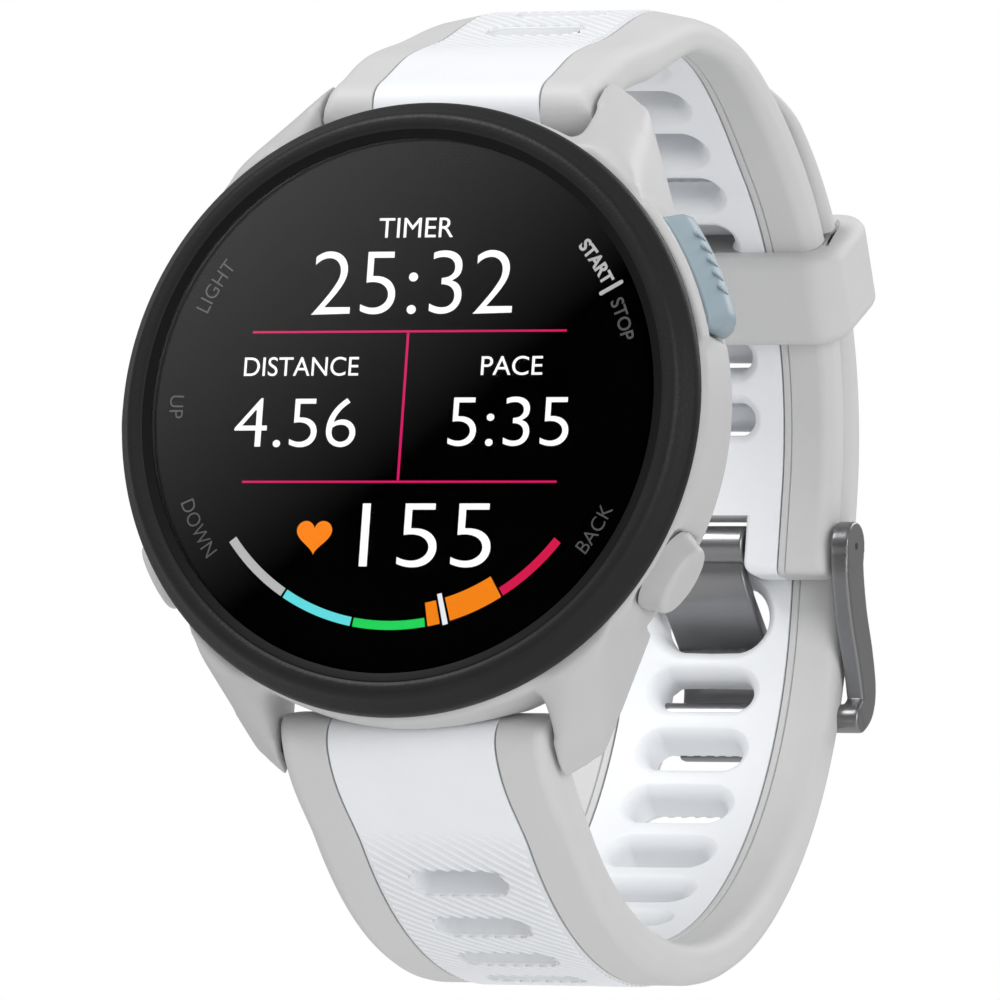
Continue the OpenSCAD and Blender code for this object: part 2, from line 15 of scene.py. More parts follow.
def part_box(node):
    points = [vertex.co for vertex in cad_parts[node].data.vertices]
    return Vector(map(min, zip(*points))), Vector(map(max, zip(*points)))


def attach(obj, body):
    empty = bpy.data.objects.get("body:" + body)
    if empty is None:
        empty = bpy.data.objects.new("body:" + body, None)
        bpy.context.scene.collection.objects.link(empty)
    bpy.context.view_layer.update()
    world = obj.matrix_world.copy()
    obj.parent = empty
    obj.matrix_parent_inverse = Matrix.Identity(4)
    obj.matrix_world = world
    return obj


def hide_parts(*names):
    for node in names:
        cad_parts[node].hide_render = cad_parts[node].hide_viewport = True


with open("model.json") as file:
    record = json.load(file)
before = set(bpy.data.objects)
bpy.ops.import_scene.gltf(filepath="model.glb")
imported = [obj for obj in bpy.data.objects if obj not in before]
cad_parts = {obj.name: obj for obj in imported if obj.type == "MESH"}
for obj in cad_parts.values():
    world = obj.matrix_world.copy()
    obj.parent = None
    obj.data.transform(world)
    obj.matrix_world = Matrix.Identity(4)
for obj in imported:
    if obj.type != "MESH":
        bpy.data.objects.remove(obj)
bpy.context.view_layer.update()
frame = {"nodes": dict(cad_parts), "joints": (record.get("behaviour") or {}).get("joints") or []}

bl_info = {
    "name": "Running watch pieces",
    "version": (1, 0, 0),
    "blender": (4, 5, 0),
    "location": "3D View > Sidebar > Watch",
    "description": "Builds the visible pieces of a GPS running watch round its packed frame",
    "category": "Object",
}

MM = 0.001
JOINT_AT = {j["name"]: [c / MM for c in j.get("pos_m", (0, 0, 0))] for j in frame["joints"]}


def node_size(node):
    """The lowest and highest corner of a CAD node, in millimetres."""
    low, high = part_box(node)
    return low / MM, high / MM


# ---- Sizes read from the frame ----

LENS_LOW, LENS_HIGH = node_size("lens")
LENS_R = LENS_HIGH.x
LENS_FACE = LENS_LOW.y
BEZEL_LOW, BEZEL_HIGH = node_size("bezel")
BEZEL_R = BEZEL_HIGH.x
BEZEL_TOP = BEZEL_LOW.y
BEZEL_SEAT = BEZEL_HIGH.y if BEZEL_HIGH.y < -7 else -7.4
DISPLAY_FACE = node_size("display_panel")[0].y
BORDER_Y = DISPLAY_FACE - 0.02
LABEL_Y = DISPLAY_FACE - 0.09
WINDOW_LOW, WINDOW_HIGH = node_size("sensor_window")

# The loop: two round parts joined by a straight, and a flatter arc near the case.
ARC_Y = JOINT_AT["keeper_slide"][1]
UPPER_Z = JOINT_AT["keeper_slide"][2]
LOWER_Z = -4.6
PIVOT = Vector((0, JOINT_AT["buckle_frame_turn"][1], JOINT_AT["buckle_frame_turn"][2]))
STRAP_T = 3.0
HALF_W = 10.0
INSERT_HALF = 6.15
LONG_IN_R = 27.3
SHORT_IN_R = 24.05
FRONT_OUT_R = 49.0
FRONT_Z = UPPER_Z + SHORT_IN_R + STRAP_T - FRONT_OUT_R
LONG_START = -141.5
SHORT_END_Z = -1.9
FRONT_END = 119.5
TAIL_TIP = 80.0
KEEPER_ANGLE = 34.0
KEEPER_W = 6.9


# ---- Settings a user would change ----

class WatchSizes(bpy.types.PropertyGroup):
    """Sizes of the watch's visible pieces."""
    edge_round: bpy.props.FloatProperty(
        name="Case edge rounding", description="How far the moulded edges are softened",
        default=0.35 * MM, min=0.0, max=1.0 * MM, subtype="DISTANCE", unit="LENGTH", precision=5)
    rail_round: bpy.props.FloatProperty(
        name="Strap edge rounding", description="Radius of the strap's outer edges",
        default=1.1 * MM, min=0.3 * MM, max=1.4 * MM, subtype="DISTANCE", unit="LENGTH", precision=5)
    slot_half_w: bpy.props.FloatProperty(
        name="Slot half width", description="Half of an adjustment slot's width across the strap",
        default=3.6 * MM, min=3.0 * MM, max=4.2 * MM, subtype="DISTANCE", unit="LENGTH", precision=5)
    slot_half_h: bpy.props.FloatProperty(
        name="Slot half height", description="Half of an adjustment slot's height along the strap",
        default=1.2 * MM, min=0.8 * MM, max=1.5 * MM, subtype="DISTANCE", unit="LENGTH", precision=5)
    rib_pitch: bpy.props.FloatProperty(
        name="Rib pitch", description="Distance between the diagonal ribs on the insert",
        default=0.62 * MM, min=0.4 * MM, max=1.0 * MM, subtype="DISTANCE", unit="LENGTH", precision=5)
    keeper_round: bpy.props.FloatProperty(
        name="Keeper corner", description="Outer radius of the keeper's corners",
        default=2.5 * MM, min=1.0 * MM, max=3.0 * MM, subtype="DISTANCE", unit="LENGTH", precision=5)


class WatchColours(bpy.types.PropertyGroup):
    """Colours of the watch's visible pieces."""
    case: bpy.props.FloatVectorProperty(
        name="Case", description="Moulded case and lugs", subtype="COLOR", size=3,
        default=(0.50, 0.50, 0.50), min=0.0, max=1.0)
    rails: bpy.props.FloatVectorProperty(
        name="Strap rails", description="Outer part of the strap", subtype="COLOR", size=3,
        default=(0.58, 0.58, 0.58), min=0.0, max=1.0)
    insert: bpy.props.FloatVectorProperty(
        name="Strap insert", description="Centre part of the strap", subtype="COLOR", size=3,
        default=(0.83, 0.845, 0.87), min=0.0, max=1.0)
    bezel: bpy.props.FloatVectorProperty(
        name="Bezel", description="Ring round the glass", subtype="COLOR", size=3,
        default=(0.0075, 0.0075, 0.008), min=0.0, max=1.0)
    start: bpy.props.FloatVectorProperty(
        name="Start button", description="Bar button at 1 o'clock", subtype="COLOR", size=3,
        default=(0.27, 0.34, 0.385), min=0.0, max=1.0)
    steel: bpy.props.FloatVectorProperty(
        name="Buckle steel", description="Buckle frame and tongue", subtype="COLOR", size=3,
        default=(0.24, 0.24, 0.245), min=0.0, max=1.0)
    accent: bpy.props.FloatVectorProperty(
        name="Display lines", description="Lines between the figures", subtype="COLOR", size=3,
        default=(0.62, 0.012, 0.12), min=0.0, max=1.0)


# ---- Materials ----

class Channel:
    """A number that varies over a surface. Sums and products of channels add Math nodes."""

    def __init__(self, finish, socket):
        self.finish = finish
        self.socket = socket

    def _math(self, operation, *values, clamp=False):
        made = self.finish.node("ShaderNodeMath", {"operation": operation, "use_clamp": clamp},
                                dict(enumerate(values)))
        return Channel(self.finish, made.outputs[0])

    def __add__(self, other):
        return self._math("ADD", self, other)

    __radd__ = __add__

    def __mul__(self, other):
        return self._math("MULTIPLY", self, other)

    __rmul__ = __mul__

    def __sub__(self, other):
        return self._math("SUBTRACT", self, other)

    def __rsub__(self, other):
        return self._math("SUBTRACT", other, self)

    def above(self, edge, soft):
        """0 below edge, 1 above it, with a soft step of the given width."""
        return self._math("MULTIPLY", self - (edge - soft / 2), 1 / soft, clamp=True)

    def wave(self):
        return self._math("SINE", self)


class Finish:
    """One material and its nodes."""

    made = {}

    def __init__(self, name, colour, rough, **constants):
        self.material = bpy.data.materials.new(name)
        self.material.use_nodes = True
        self.tree = self.material.node_tree
        self.tree.nodes.clear()
        self.shader = self.node("ShaderNodeBsdfPrincipled")
        self.shader.inputs["Base Color"].default_value = (*colour, 1)
        self.shader.inputs["Roughness"].default_value = rough
        for socket, value in constants.items():
            self.shader.inputs[socket.replace("_", " ")].default_value = value
        out = self.node("ShaderNodeOutputMaterial")
        self.tree.links.new(self.shader.outputs[0], out.inputs["Surface"])
        Finish.made[name] = self

    def node(self, kind, settings=None, values=None):
        """Adds a node: its settings first, then the values or links of its sockets."""
        made = self.tree.nodes.new(kind)
        for key, value in (settings or {}).items():
            setattr(made, key, value)
        for key, value in (values or {}).items():
            if isinstance(value, Channel):
                self.tree.links.new(value.socket, made.inputs[key])
            else:
                made.inputs[key].default_value = value
        return made

    def out(self, made, socket=0):
        return Channel(self, made.outputs[socket])

    def place(self, stretch=(1, 1, 1), uv=False):
        """Object coordinates in millimetres, or the piece's own UV map."""
        source = self.out(self.node("ShaderNodeTexCoord"), "UV" if uv else "Object")
        unit = 1.0 if uv else MM
        return self.out(self.node("ShaderNodeMapping", {"vector_type": "POINT"}, {
            "Vector": source, "Scale": tuple(s / unit for s in stretch)}))

    def axes(self, place):
        parts = self.node("ShaderNodeSeparateXYZ", None, {0: place})
        return [self.out(parts, k) for k in range(3)]

    def noise(self, place, scale, detail=2.0, rough=0.5):
        return self.out(self.node("ShaderNodeTexNoise", None, {
            "Vector": place, "Scale": scale, "Detail": detail, "Roughness": rough}))

    def cells(self, place, scale):
        return self.out(self.node("ShaderNodeTexVoronoi", {"feature": "SMOOTH_F1"}, {
            "Vector": place, "Scale": scale, "Smoothness": 0.6}), "Distance")

    def tint(self, factor, low, high):
        """A colour between low and high."""
        mixed = self.node("ShaderNodeMix", {"data_type": "RGBA"}, {
            "Factor": factor, "A": (*low, 1), "B": (*high, 1)})
        mixed_out = [s for s in mixed.outputs if s.type == "RGBA"][0]
        return Channel(self, mixed_out)

    def set(self, socket, channel):
        self.tree.links.new(channel.socket, self.shader.inputs[socket])

    def bump(self, height, distance_mm, strength=1.0):
        made = self.node("ShaderNodeBump", None, {
            "Height": height, "Distance": distance_mm * MM, "Strength": strength})
        self.tree.links.new(made.outputs[0], self.shader.inputs["Normal"])


def shade(colour, factor):
    return tuple(min(1.0, c * factor) for c in colour)


def moulded(name, colour, rough=0.5, grain=0.006, grain_scale=6.0, spread=0.03, **constants):
    """A moulded plastic or rubber: slight mottling, fine grain and uneven gloss."""
    made = Finish(name, colour, rough, **constants)
    place = made.place()
    fine = made.noise(place, grain_scale, 3.0, 0.6)
    broad = made.noise(place, 0.35, 2.0)
    made.set("Base Color", made.tint(broad, shade(colour, 1 - spread), shade(colour, 1 + spread)))
    made.set("Roughness", broad * 0.08 + fine * 0.06 + (rough - 0.07))
    made.bump(fine, grain)
    return made


def metal(name, colour, rough, stretch):
    """A metal with fine drawn lines, drawn out along the axis that stretch makes small."""
    made = Finish(name, colour, rough, Metallic=1.0)
    lines = made.noise(made.place(stretch), 3.0, 3.0, 0.65)
    broad = made.noise(made.place(), 0.3, 2.0)
    made.set("Base Color", made.tint(broad, shade(colour, 0.93), shade(colour, 1.07)))
    made.set("Roughness", lines * 0.10 + broad * 0.06 + (rough - 0.08))
    made.bump(lines, 0.004)
    return made


def lit(name, colour, strength=1.0):
    """A lit part of the display, with the faint grid of its cells."""
    made = Finish(name, shade(colour, 0.2), 0.5, Emission_Strength=strength, Specular_IOR_Level=0.0)
    across, _, up = made.axes(made.place())
    grid = (across * 62.0).wave() * (up * 62.0).wave()
    made.set("Emission Color", made.tint(grid * 0.5 + 0.5, shade(colour, 0.97), shade(colour, 1.03)))
    return made


def leather_grain(colours):
    """The bezel's top has a fine leather-like grain."""
    made = Finish("bezel_black", colours.bezel, 0.44, Specular_IOR_Level=0.24)
    place = made.place()
    pebbles = made.cells(place, 4.5)
    fine = made.noise(place, 9.0, 3.0, 0.6)
    broad = made.noise(place, 0.25, 2.0)
    made.set("Base Color", made.tint(broad, shade(colours.bezel, 0.85), shade(colours.bezel, 1.2)))
    made.set("Roughness", pebbles * 0.10 + fine * 0.08 + 0.36)
    made.bump(pebbles * 0.7 + fine * 0.5, 0.014)


def ribbed(colours):
    """The insert's silicone, with painted shade in the valleys between the ribs of its outer face."""
    made = Finish("silicone_white", colours.insert, 0.52, Specular_IOR_Level=0.45)
    _, along, _ = made.axes(made.place(uv=True))
    height = made.out(made.node("ShaderNodeAttribute", {"attribute_name": "outer_face"}), "Fac")
    place = made.place()
    fine = made.noise(place, 5.0, 3.0, 0.6)
    broad = made.noise(place, 0.3, 2.0)
    # Painted shade: the valleys between the ribs are darkened and the crests kept light, faded in from 5 to
    # 9 mm along the strap; broad adds random mottling.
    between = height.above(0.95, 0.06) * (1 - height.above(1.02, 0.03)) * along.above(7.0, 4.0)
    pale = 1 - between * 0.6 - broad * 0.2
    made.set("Base Color", made.tint(pale, shade(colours.insert, 0.80), colours.insert))
    made.set("Roughness", fine * 0.12 + 0.46)
    made.bump(fine, 0.008)


def clear_glass():
    made = Finish("cover_glass", (1.0, 1.0, 1.0), 0.0, IOR=1.47, Transmission_Weight=1.0)
    made.set("Roughness", made.noise(made.place(), 0.4, 2.0) * 0.004)


def make_finishes(colours):
    moulded("case_polymer", colours.case, 0.46, 0.010, 7.0, 0.02)
    leather_grain(colours)
    clear_glass()
    moulded("display_black", (0.0012, 0.0012, 0.0012), 0.6, 0.001, 4.0, 0.02, Specular_IOR_Level=0.0)
    moulded("lens_border", (0.0012, 0.0012, 0.0012), 0.6, 0.001, 4.0, 0.02, Specular_IOR_Level=0.0)
    lit("display_white", (1.0, 1.0, 1.0))
    lit("display_accent", colours.accent)
    lit("display_heart", (1.0, 0.24, 0.015), 0.95)
    lit("zone_grey", (0.45, 0.45, 0.45))
    lit("zone_cyan", (0.12, 0.68, 0.72))
    lit("zone_green", (0.02, 0.62, 0.10))
    lit("zone_orange", (0.86, 0.22, 0.01))
    lit("zone_red", (0.62, 0.012, 0.07))
    lit("zone_mark", (0.78, 0.80, 0.86))
    moulded("ink_white", (0.85, 0.85, 0.85), 0.6, 0.002, 5.0, 0.02, Emission_Strength=0.0)
    moulded("ink_grey", (0.16, 0.16, 0.16), 0.6, 0.002, 5.0, 0.02)
    ribbed(colours)
    moulded("silicone_plain", colours.insert, 0.5, 0.008, 5.0, 0.02)
    moulded("silicone_grey", colours.rails, 0.56, 0.010, 5.0, 0.02, Specular_IOR_Level=0.4)
    moulded("start_blue", colours.start, 0.42, 0.008, 5.0, 0.03)
    moulded("button_grey", shade(colours.case, 0.98), 0.44, 0.006, 6.0, 0.02)
    metal("buckle_steel", colours.steel, 0.30, (0.15, 1.0, 1.0))
    moulded("lip_black", (0.003, 0.003, 0.003), 0.5, 0.002, 5.0, 0.05, Specular_IOR_Level=0.12)
    # Painted shade for the holes at the buckle pin's ends.
    moulded("socket_hole_shade", (0.004, 0.004, 0.004), 0.6, 0.002, 5.0, 0.05)
    metal("sheet_steel", (0.55, 0.55, 0.56), 0.35, (1.0, 1.0, 0.15))
    metal("spring_steel", (0.50, 0.50, 0.51), 0.30, (0.3, 1.0, 1.0))
    metal("contact_gold", (0.83, 0.58, 0.25), 0.25, (1.0, 0.3, 1.0))
    metal("antenna_plate", (0.72, 0.50, 0.28), 0.35, (1.0, 1.0, 0.3))
    moulded("adhesive", (0.05, 0.05, 0.05), 0.7, 0.004, 4.0, 0.05)
    moulded("gasket_black", (0.02, 0.02, 0.02), 0.6, 0.006, 4.0, 0.05)
    moulded("foam_black", (0.03, 0.03, 0.03), 0.9, 0.05, 2.5, 0.15)
    moulded("battery_foil", (0.55, 0.57, 0.60), 0.35, 0.02, 0.8, 0.06)
    moulded("frame_plastic", (0.10, 0.10, 0.105), 0.5, 0.006, 5.0, 0.04)
    moulded("back_polymer", (0.60, 0.60, 0.60), 0.5, 0.012, 5.0, 0.02)
    moulded("sensor_glass", (0.008, 0.008, 0.010), 0.08, 0.001, 1.0, 0.02, Coat_Weight=0.6)
    moulded("emitter_lens", (0.30, 0.75, 0.35), 0.15, 0.002, 3.0, 0.05)
    moulded("detector_chip", (0.02, 0.02, 0.028), 0.25, 0.002, 3.0, 0.05)
    moulded("port_plastic", (0.03, 0.03, 0.03), 0.45, 0.006, 5.0, 0.05)
    moulded("vent_membrane", (0.75, 0.75, 0.74), 0.8, 0.02, 6.0, 0.05)
    moulded("flex_circuit", (0.42, 0.20, 0.05), 0.35, 0.006, 3.0, 0.08)
    board = moulded("circuit_board", (0.01, 0.09, 0.04), 0.4, 0.004, 3.0, 0.1)
    tracks = board.cells(board.place(), 0.9).above(0.42, 0.05)
    board.set("Base Color", board.tint(tracks, (0.008, 0.075, 0.035), (0.02, 0.16, 0.07)))


NODE_FINISHES = {
    "case_polymer": ["case_middle"],
    "bezel_black": ["bezel"],
    "cover_glass": ["lens"],
    "adhesive": ["lens_adhesive"],
    "display_black": ["display_panel"],
    "sheet_steel": ["display_backplate", "shield_cans", "motor_can", "back_screws"],
    "flex_circuit": ["display_flex", "switch_flex"],
    "frame_plastic": ["inner_frame", "button_switches"],
    "battery_foil": ["battery"],
    "foam_black": ["battery_pad"],
    "circuit_board": ["main_board", "sensor_board"],
    "antenna_plate": ["gnss_antenna", "piezo_sounder"],
    "spring_steel": [
        "motor_rotor", "start_spring", "back_spring", "light_spring", "up_spring", "down_spring",
        "start_clip", "back_clip", "light_clip", "up_clip", "down_clip",
        "upper_bar_tube", "upper_release_pin", "upper_bar_spring",
        "lower_bar_tube", "lower_release_pin", "lower_bar_spring"],
    "vent_membrane": ["pressure_vent"],
    "back_polymer": ["back_cover"],
    "gasket_black": ["back_gasket", "button_seals"],
    "sensor_glass": ["sensor_window"],
    "emitter_lens": ["sensor_emitters"],
    "detector_chip": ["sensor_detectors"],
    "port_plastic": ["charge_port_insert"],
    "contact_gold": ["charge_contacts"],
    "start_blue": ["start_button"],
    "button_grey": ["back_button", "light_button", "up_button", "down_button"],
    "silicone_grey": ["upper_strap_rails", "lower_strap_rails", "keeper"],
    "silicone_plain": ["upper_strap_insert", "lower_strap_insert"],
    "buckle_steel": ["buckle_frame", "buckle_bar", "buckle_tongue"],
}


# ---- Making pieces ----

def piece(name, bm, finish, body, replaces=(), smooth=35.0, weighted=True):
    """Turns a bmesh in millimetres into a finished piece that rides on a body."""
    bmesh.ops.transform(bm, matrix=Matrix.Scale(MM, 4), verts=bm.verts)
    mesh = bpy.data.meshes.new(name)
    for face in bm.faces:
        face.smooth = True
    for edge in bm.edges:
        if len(edge.link_faces) == 2:
            edge.smooth = edge.calc_face_angle(0.0) < math.radians(smooth)
    bm.to_mesh(mesh)
    bm.free()
    made = bpy.data.objects.new(name, mesh)
    bpy.context.scene.collection.objects.link(made)
    mesh.materials.append(Finish.made[finish].material)
    if weighted:
        modifier = made.modifiers.new("even_shading", "WEIGHTED_NORMAL")
        modifier.keep_sharp = True
    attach(made, body)
    if replaces:
        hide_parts(*replaces)
    return made


def only_verts(geom):
    """The corners among what an operator returned."""
    return [v for v in geom if isinstance(v, bmesh.types.BMVert)]


def carry(bm, edges):
    """Extrudes a row of edges and returns the new row's corners and edges."""
    made = bmesh.ops.extrude_edge_only(bm, edges=edges)["geom"]
    verts = only_verts(made)
    moved = set(verts)
    return verts, [e for e in made if isinstance(e, bmesh.types.BMEdge)
                   and e.verts[0] in moved and e.verts[1] in moved]


def tidy_shell(bm, gap=0.004):
    """Merges doubles and points every face outwards."""
    bmesh.ops.remove_doubles(bm, verts=bm.verts, dist=gap)
    bmesh.ops.recalc_face_normals(bm, faces=bm.faces)


def rounded_face(bm, corners, segments=4):
    """One flat face from corners (a, b, radius), with each corner rounded to its radius."""
    verts = [bm.verts.new((a, b, 0)) for a, b, _ in corners]
    bm.faces.new(verts)
    for vert, (_, _, radius) in zip(verts, corners):
        if radius > 0:
            bmesh.ops.bevel(bm, geom=[vert], offset=radius, offset_type="OFFSET", affect="VERTICES",
                            segments=segments, profile=0.5, material=-1)


def section_points(corners, segments=4):
    """The outline of a rounded section, in order round it."""
    bm = bmesh.new()
    rounded_face(bm, corners, segments)
    bm.faces.ensure_lookup_table()
    points = [loop.vert.co.copy() for loop in bm.faces[0].loops]
    bm.free()
    return points


def sweep(bm, points, places, closed=False):
    """Carries a closed section through a row of places and skins the way between them."""
    ring = [bm.verts.new(places[0] @ p) for p in points]
    edges = [bm.edges.new((ring[k - 1], ring[k])) for k in range(len(ring))]
    first = list(edges)
    before = places[0]
    for place in places[1:]:
        verts, edges = carry(bm, edges)
        bmesh.ops.transform(bm, matrix=place @ before.inverted(), verts=verts)
        before = place
    if not closed:
        bmesh.ops.edgeloop_fill(bm, edges=first)
        bmesh.ops.edgeloop_fill(bm, edges=edges)


def spun(outline, steps=192):
    """Revolves an outline of (radius, y, corner radius) about the dial axis."""
    bm = bmesh.new()
    rounded_face(bm, outline, 3)
    bmesh.ops.delete(bm, geom=bm.faces[:], context="FACES_ONLY")
    on_axis = [e for e in bm.edges if all(abs(v.co.x) < 1e-6 for v in e.verts)]
    bmesh.ops.delete(bm, geom=on_axis, context="EDGES")
    bmesh.ops.spin(bm, geom=bm.verts[:] + bm.edges[:], cent=(0, 0, 0), axis=(0, 1, 0), dvec=(0, 0, 0),
                   angle=2 * math.pi, steps=steps, use_merge=True, use_duplicate=False)
    tidy_shell(bm, 0.0005)
    return bm


def cut_across(bm, point, normal, keep=True):
    """Cuts the whole shape along a plane, and drops the side that normal points to unless keep."""
    bmesh.ops.bisect_plane(bm, geom=bm.verts[:] + bm.edges[:] + bm.faces[:], dist=1e-5,
                           plane_co=point, plane_no=normal, clear_outer=not keep)


def sharp_edges(bm, degrees):
    limit = math.radians(degrees)
    return [e for e in bm.edges if len(e.link_faces) == 2 and e.calc_face_angle(0.0) > limit]


def soften(bm, offset, segments=3, degrees=30.0):
    """Rounds every edge sharper than the given angle."""
    bmesh.ops.bevel(bm, geom=sharp_edges(bm, degrees), offset=offset, offset_type="OFFSET",
                    affect="EDGES", segments=segments, profile=0.5, material=-1, clamp_overlap=True)


def dial_place(angle, radius, y):
    """Puts a shape drawn looking at its outer face (x along the case, y up, z outwards) on the flank."""
    a = math.radians(angle)
    outwards = Vector((math.cos(a), 0, math.sin(a)))
    along = Vector((-math.sin(a), 0, math.cos(a)))
    forward = Vector((0, -1, 0))
    place = Matrix((along, forward, outwards)).transposed().to_4x4()
    place.translation = outwards * radius + Vector((0, y, 0))
    return place


def cad_copy(node):
    """A merged copy of a CAD node's mesh, in millimetres."""
    bm = bmesh.new()
    bm.from_mesh(frame["nodes"][node].data)
    bmesh.ops.transform(bm, matrix=Matrix.Scale(1 / MM, 4), verts=bm.verts)
    bmesh.ops.remove_doubles(bm, verts=bm.verts, dist=0.001)
    return bm


def remeshed(bm, voxel, rounds):
    """A closed even skin over a shape, with its edges softened by a few rounds of smoothing."""
    mesh = bpy.data.meshes.new("work")
    bm.to_mesh(mesh)
    bm.free()
    work = bpy.data.objects.new("work", mesh)
    bpy.context.scene.collection.objects.link(work)
    modifier = work.modifiers.new("skin", "REMESH")
    modifier.mode = "VOXEL"
    modifier.voxel_size = voxel
    evaluated = work.evaluated_get(bpy.context.evaluated_depsgraph_get())
    out = bmesh.new()
    out.from_mesh(evaluated.to_mesh())
    evaluated.to_mesh_clear()
    bpy.data.objects.remove(work)
    bpy.data.meshes.remove(mesh)
    smooth(out, out.verts, rounds)
    return out


def smooth(bm, verts, rounds):
    """Moves each corner halfway to its neighbours' middle, again and again."""
    for _ in range(rounds):
        bmesh.ops.smooth_vert(bm, verts=verts, factor=0.5, use_axis_x=True, use_axis_y=True,
                              use_axis_z=True)


# ---- The strap's run ----

LONG_MID = LONG_IN_R + STRAP_T / 2
SHORT_MID = SHORT_IN_R + STRAP_T / 2
FRONT_MID = FRONT_OUT_R - STRAP_T / 2
LOWER_RUN = math.radians(-LONG_START) * LONG_MID
STRAIGHT_RUN = UPPER_Z - LOWER_Z
TAIL_RUN = LOWER_RUN + STRAIGHT_RUN + math.radians(TAIL_TIP) * LONG_MID
TAIL_ROUND = TAIL_RUN - HALF_W
INSERT_STOP = TAIL_ROUND + 5.5
SHORT_FRONT_RUN = math.radians(FRONT_END - 90) * FRONT_MID
SHORT_UPPER_RUN = math.radians(90) * SHORT_MID
SHORT_RUN = SHORT_FRONT_RUN + SHORT_UPPER_RUN + UPPER_Z - SHORT_END_Z
CREST_IN = 2.6
CREST_OUT = 2.0
CREST_LEAN = 0.26
BARREL_S = -1.05
BARREL_R = 2.15


def arc_place(z, radius_in, angle):
    """The inner face's point and outward direction on an arc, at an angle in the side view."""
    a = math.radians(angle)
    out = Vector((0, math.cos(a), math.sin(a)))
    return Vector((0, ARC_Y, z)) + out * radius_in, out


def long_run(s):
    """The long half's inner face and outward direction, at a distance along it."""
    if s < LOWER_RUN:
        return arc_place(LOWER_Z, LONG_IN_R, LONG_START + math.degrees(s / LONG_MID))
    if s < LOWER_RUN + STRAIGHT_RUN:
        base, out = arc_place(LOWER_Z, LONG_IN_R, 0)
        return base + Vector((0, 0, s - LOWER_RUN)), out
    turned = (s - LOWER_RUN - STRAIGHT_RUN) / LONG_MID
    rise = CREST_OUT * crest((turned - math.pi / 2) * SHORT_MID)
    return arc_place(UPPER_Z, LONG_IN_R + rise, math.degrees(turned))


def crest(ahead):
    """How far the strap stands off its plain arc, by the distance past the top towards the case."""
    return ease((16.0 - ahead) / 11.0) * ease((ahead + 14.0) / 17.0)


def short_run(s):
    """The short half's inner face and outward direction, from its spring bar down to the buckle."""
    rise = CREST_IN * crest(SHORT_FRONT_RUN - s)
    if s < SHORT_FRONT_RUN:
        return arc_place(FRONT_Z, FRONT_OUT_R - STRAP_T + rise, FRONT_END - math.degrees(s / FRONT_MID))
    if s < SHORT_FRONT_RUN + SHORT_UPPER_RUN:
        return arc_place(UPPER_Z, SHORT_IN_R + rise, 90 - math.degrees((s - SHORT_FRONT_RUN) / SHORT_MID))
    base, out = arc_place(UPPER_Z, SHORT_IN_R, 0)
    return base - Vector((0, 0, s - SHORT_FRONT_RUN - SHORT_UPPER_RUN)), out


def ease(t):
    t = min(max(t, 0.0), 1.0)
    return t * t * (3 - 2 * t)


def end_faces(s, bar_h, block):
    """The inner and outer face's heights near the end block round the spring bar."""
    power = 2.6
    if s <= BARREL_S:
        t = min((BARREL_S - s) / BARREL_R, 0.9999)
        swell = (1 - t ** power) ** (1 / power)
        return bar_h - BARREL_R * swell, bar_h + BARREL_R * swell
    t = ease((s - BARREL_S) / block)
    return (bar_h - BARREL_R) * (1 - t), (bar_h + BARREL_R) * (1 - t) + STRAP_T * t


class Half:
    """One half of the strap: its run, its length and its end block."""

    def __init__(self, run, bar_h, block, thinning):
        self.run = run
        self.bar_h = bar_h
        self.block = block
        self.thinning = thinning

    def point(self, x, s, h):
        """A point at x across, s along and h up from the inner face, with h from 0 to STRAP_T."""
        low, high = self.faces(s)
        base, out = self.run(s)
        return Vector((x, 0, 0)) + base + out * (low + (high - low) * h / STRAP_T)

    def faces(self, s):
        """The inner and outer face's heights."""
        low, high = end_faces(s, self.bar_h, self.block)
        return low, high * (1 - self.thinning(s))

    def place(self, s):
        """The same as a matrix, for sweeping a section drawn as (x, h)."""
        low, high = self.faces(s)
        base, out = self.run(s)
        side = Vector((1, 0, 0))
        along = side.cross(out)
        up = out * ((high - low) / STRAP_T)
        place = Matrix((side, up, along)).transposed().to_4x4()
        place.translation = base + out * low
        return place

    def stations(self, start, stop, step):
        count = max(2, math.ceil((stop - start) / step))
        return [start + (stop - start) * k / count for k in range(count + 1)]


def nose_stations(half, stop=8.0):
    """Closely spaced places round the end block's nose, then even ones as far as stop."""
    nose = [BARREL_S - BARREL_R * math.sin(math.radians(a)) for a in (88, 78, 66, 52, 38, 24, 10)]
    return nose + half.stations(BARREL_S, stop, 0.5)


def tail_thinning(s):
    """The tail gets thinner towards its tip."""
    start = LOWER_RUN + STRAIGHT_RUN + 2.5
    return 0.75 * ease((s - start) / (TAIL_RUN - start))


def crest_thinning(s):
    """The short half is a little thinner where it bends over the top."""
    return (CREST_IN - CREST_OUT) / STRAP_T * crest(SHORT_FRONT_RUN - s)


def rail_lean(s):
    """Tips a rail's section down towards the strap's edge where the short half bends over the top."""
    slope = CREST_LEAN * crest(SHORT_FRONT_RUN - s)
    lean = Matrix.Identity(4)
    lean[1][0] = -slope
    lean[1][3] = slope * INSERT_HALF
    return lean


LONG = Half(long_run, 2.28, 8.0, tail_thinning)
SHORT = Half(short_run, 0.40, 5.5, crest_thinning)


def rail_section(round_r):
    """One rail's section, drawn as (x, h), with a fine edge at the seam."""
    seam = INSERT_HALF + 0.13
    under = INSERT_HALF - 0.02
    return section_points([
        (seam, 0, 0.06), (6.72, 0, 0), (6.8, 0.15, 0), (6.88, 0, 0), (HALF_W, 0, round_r),
        (HALF_W, STRAP_T, round_r), (seam, STRAP_T, 0.08), (seam, STRAP_T - 0.5, 0),
        (under, STRAP_T - 0.6, 0), (under, 0.6, 0), (seam, 0.5, 0)])


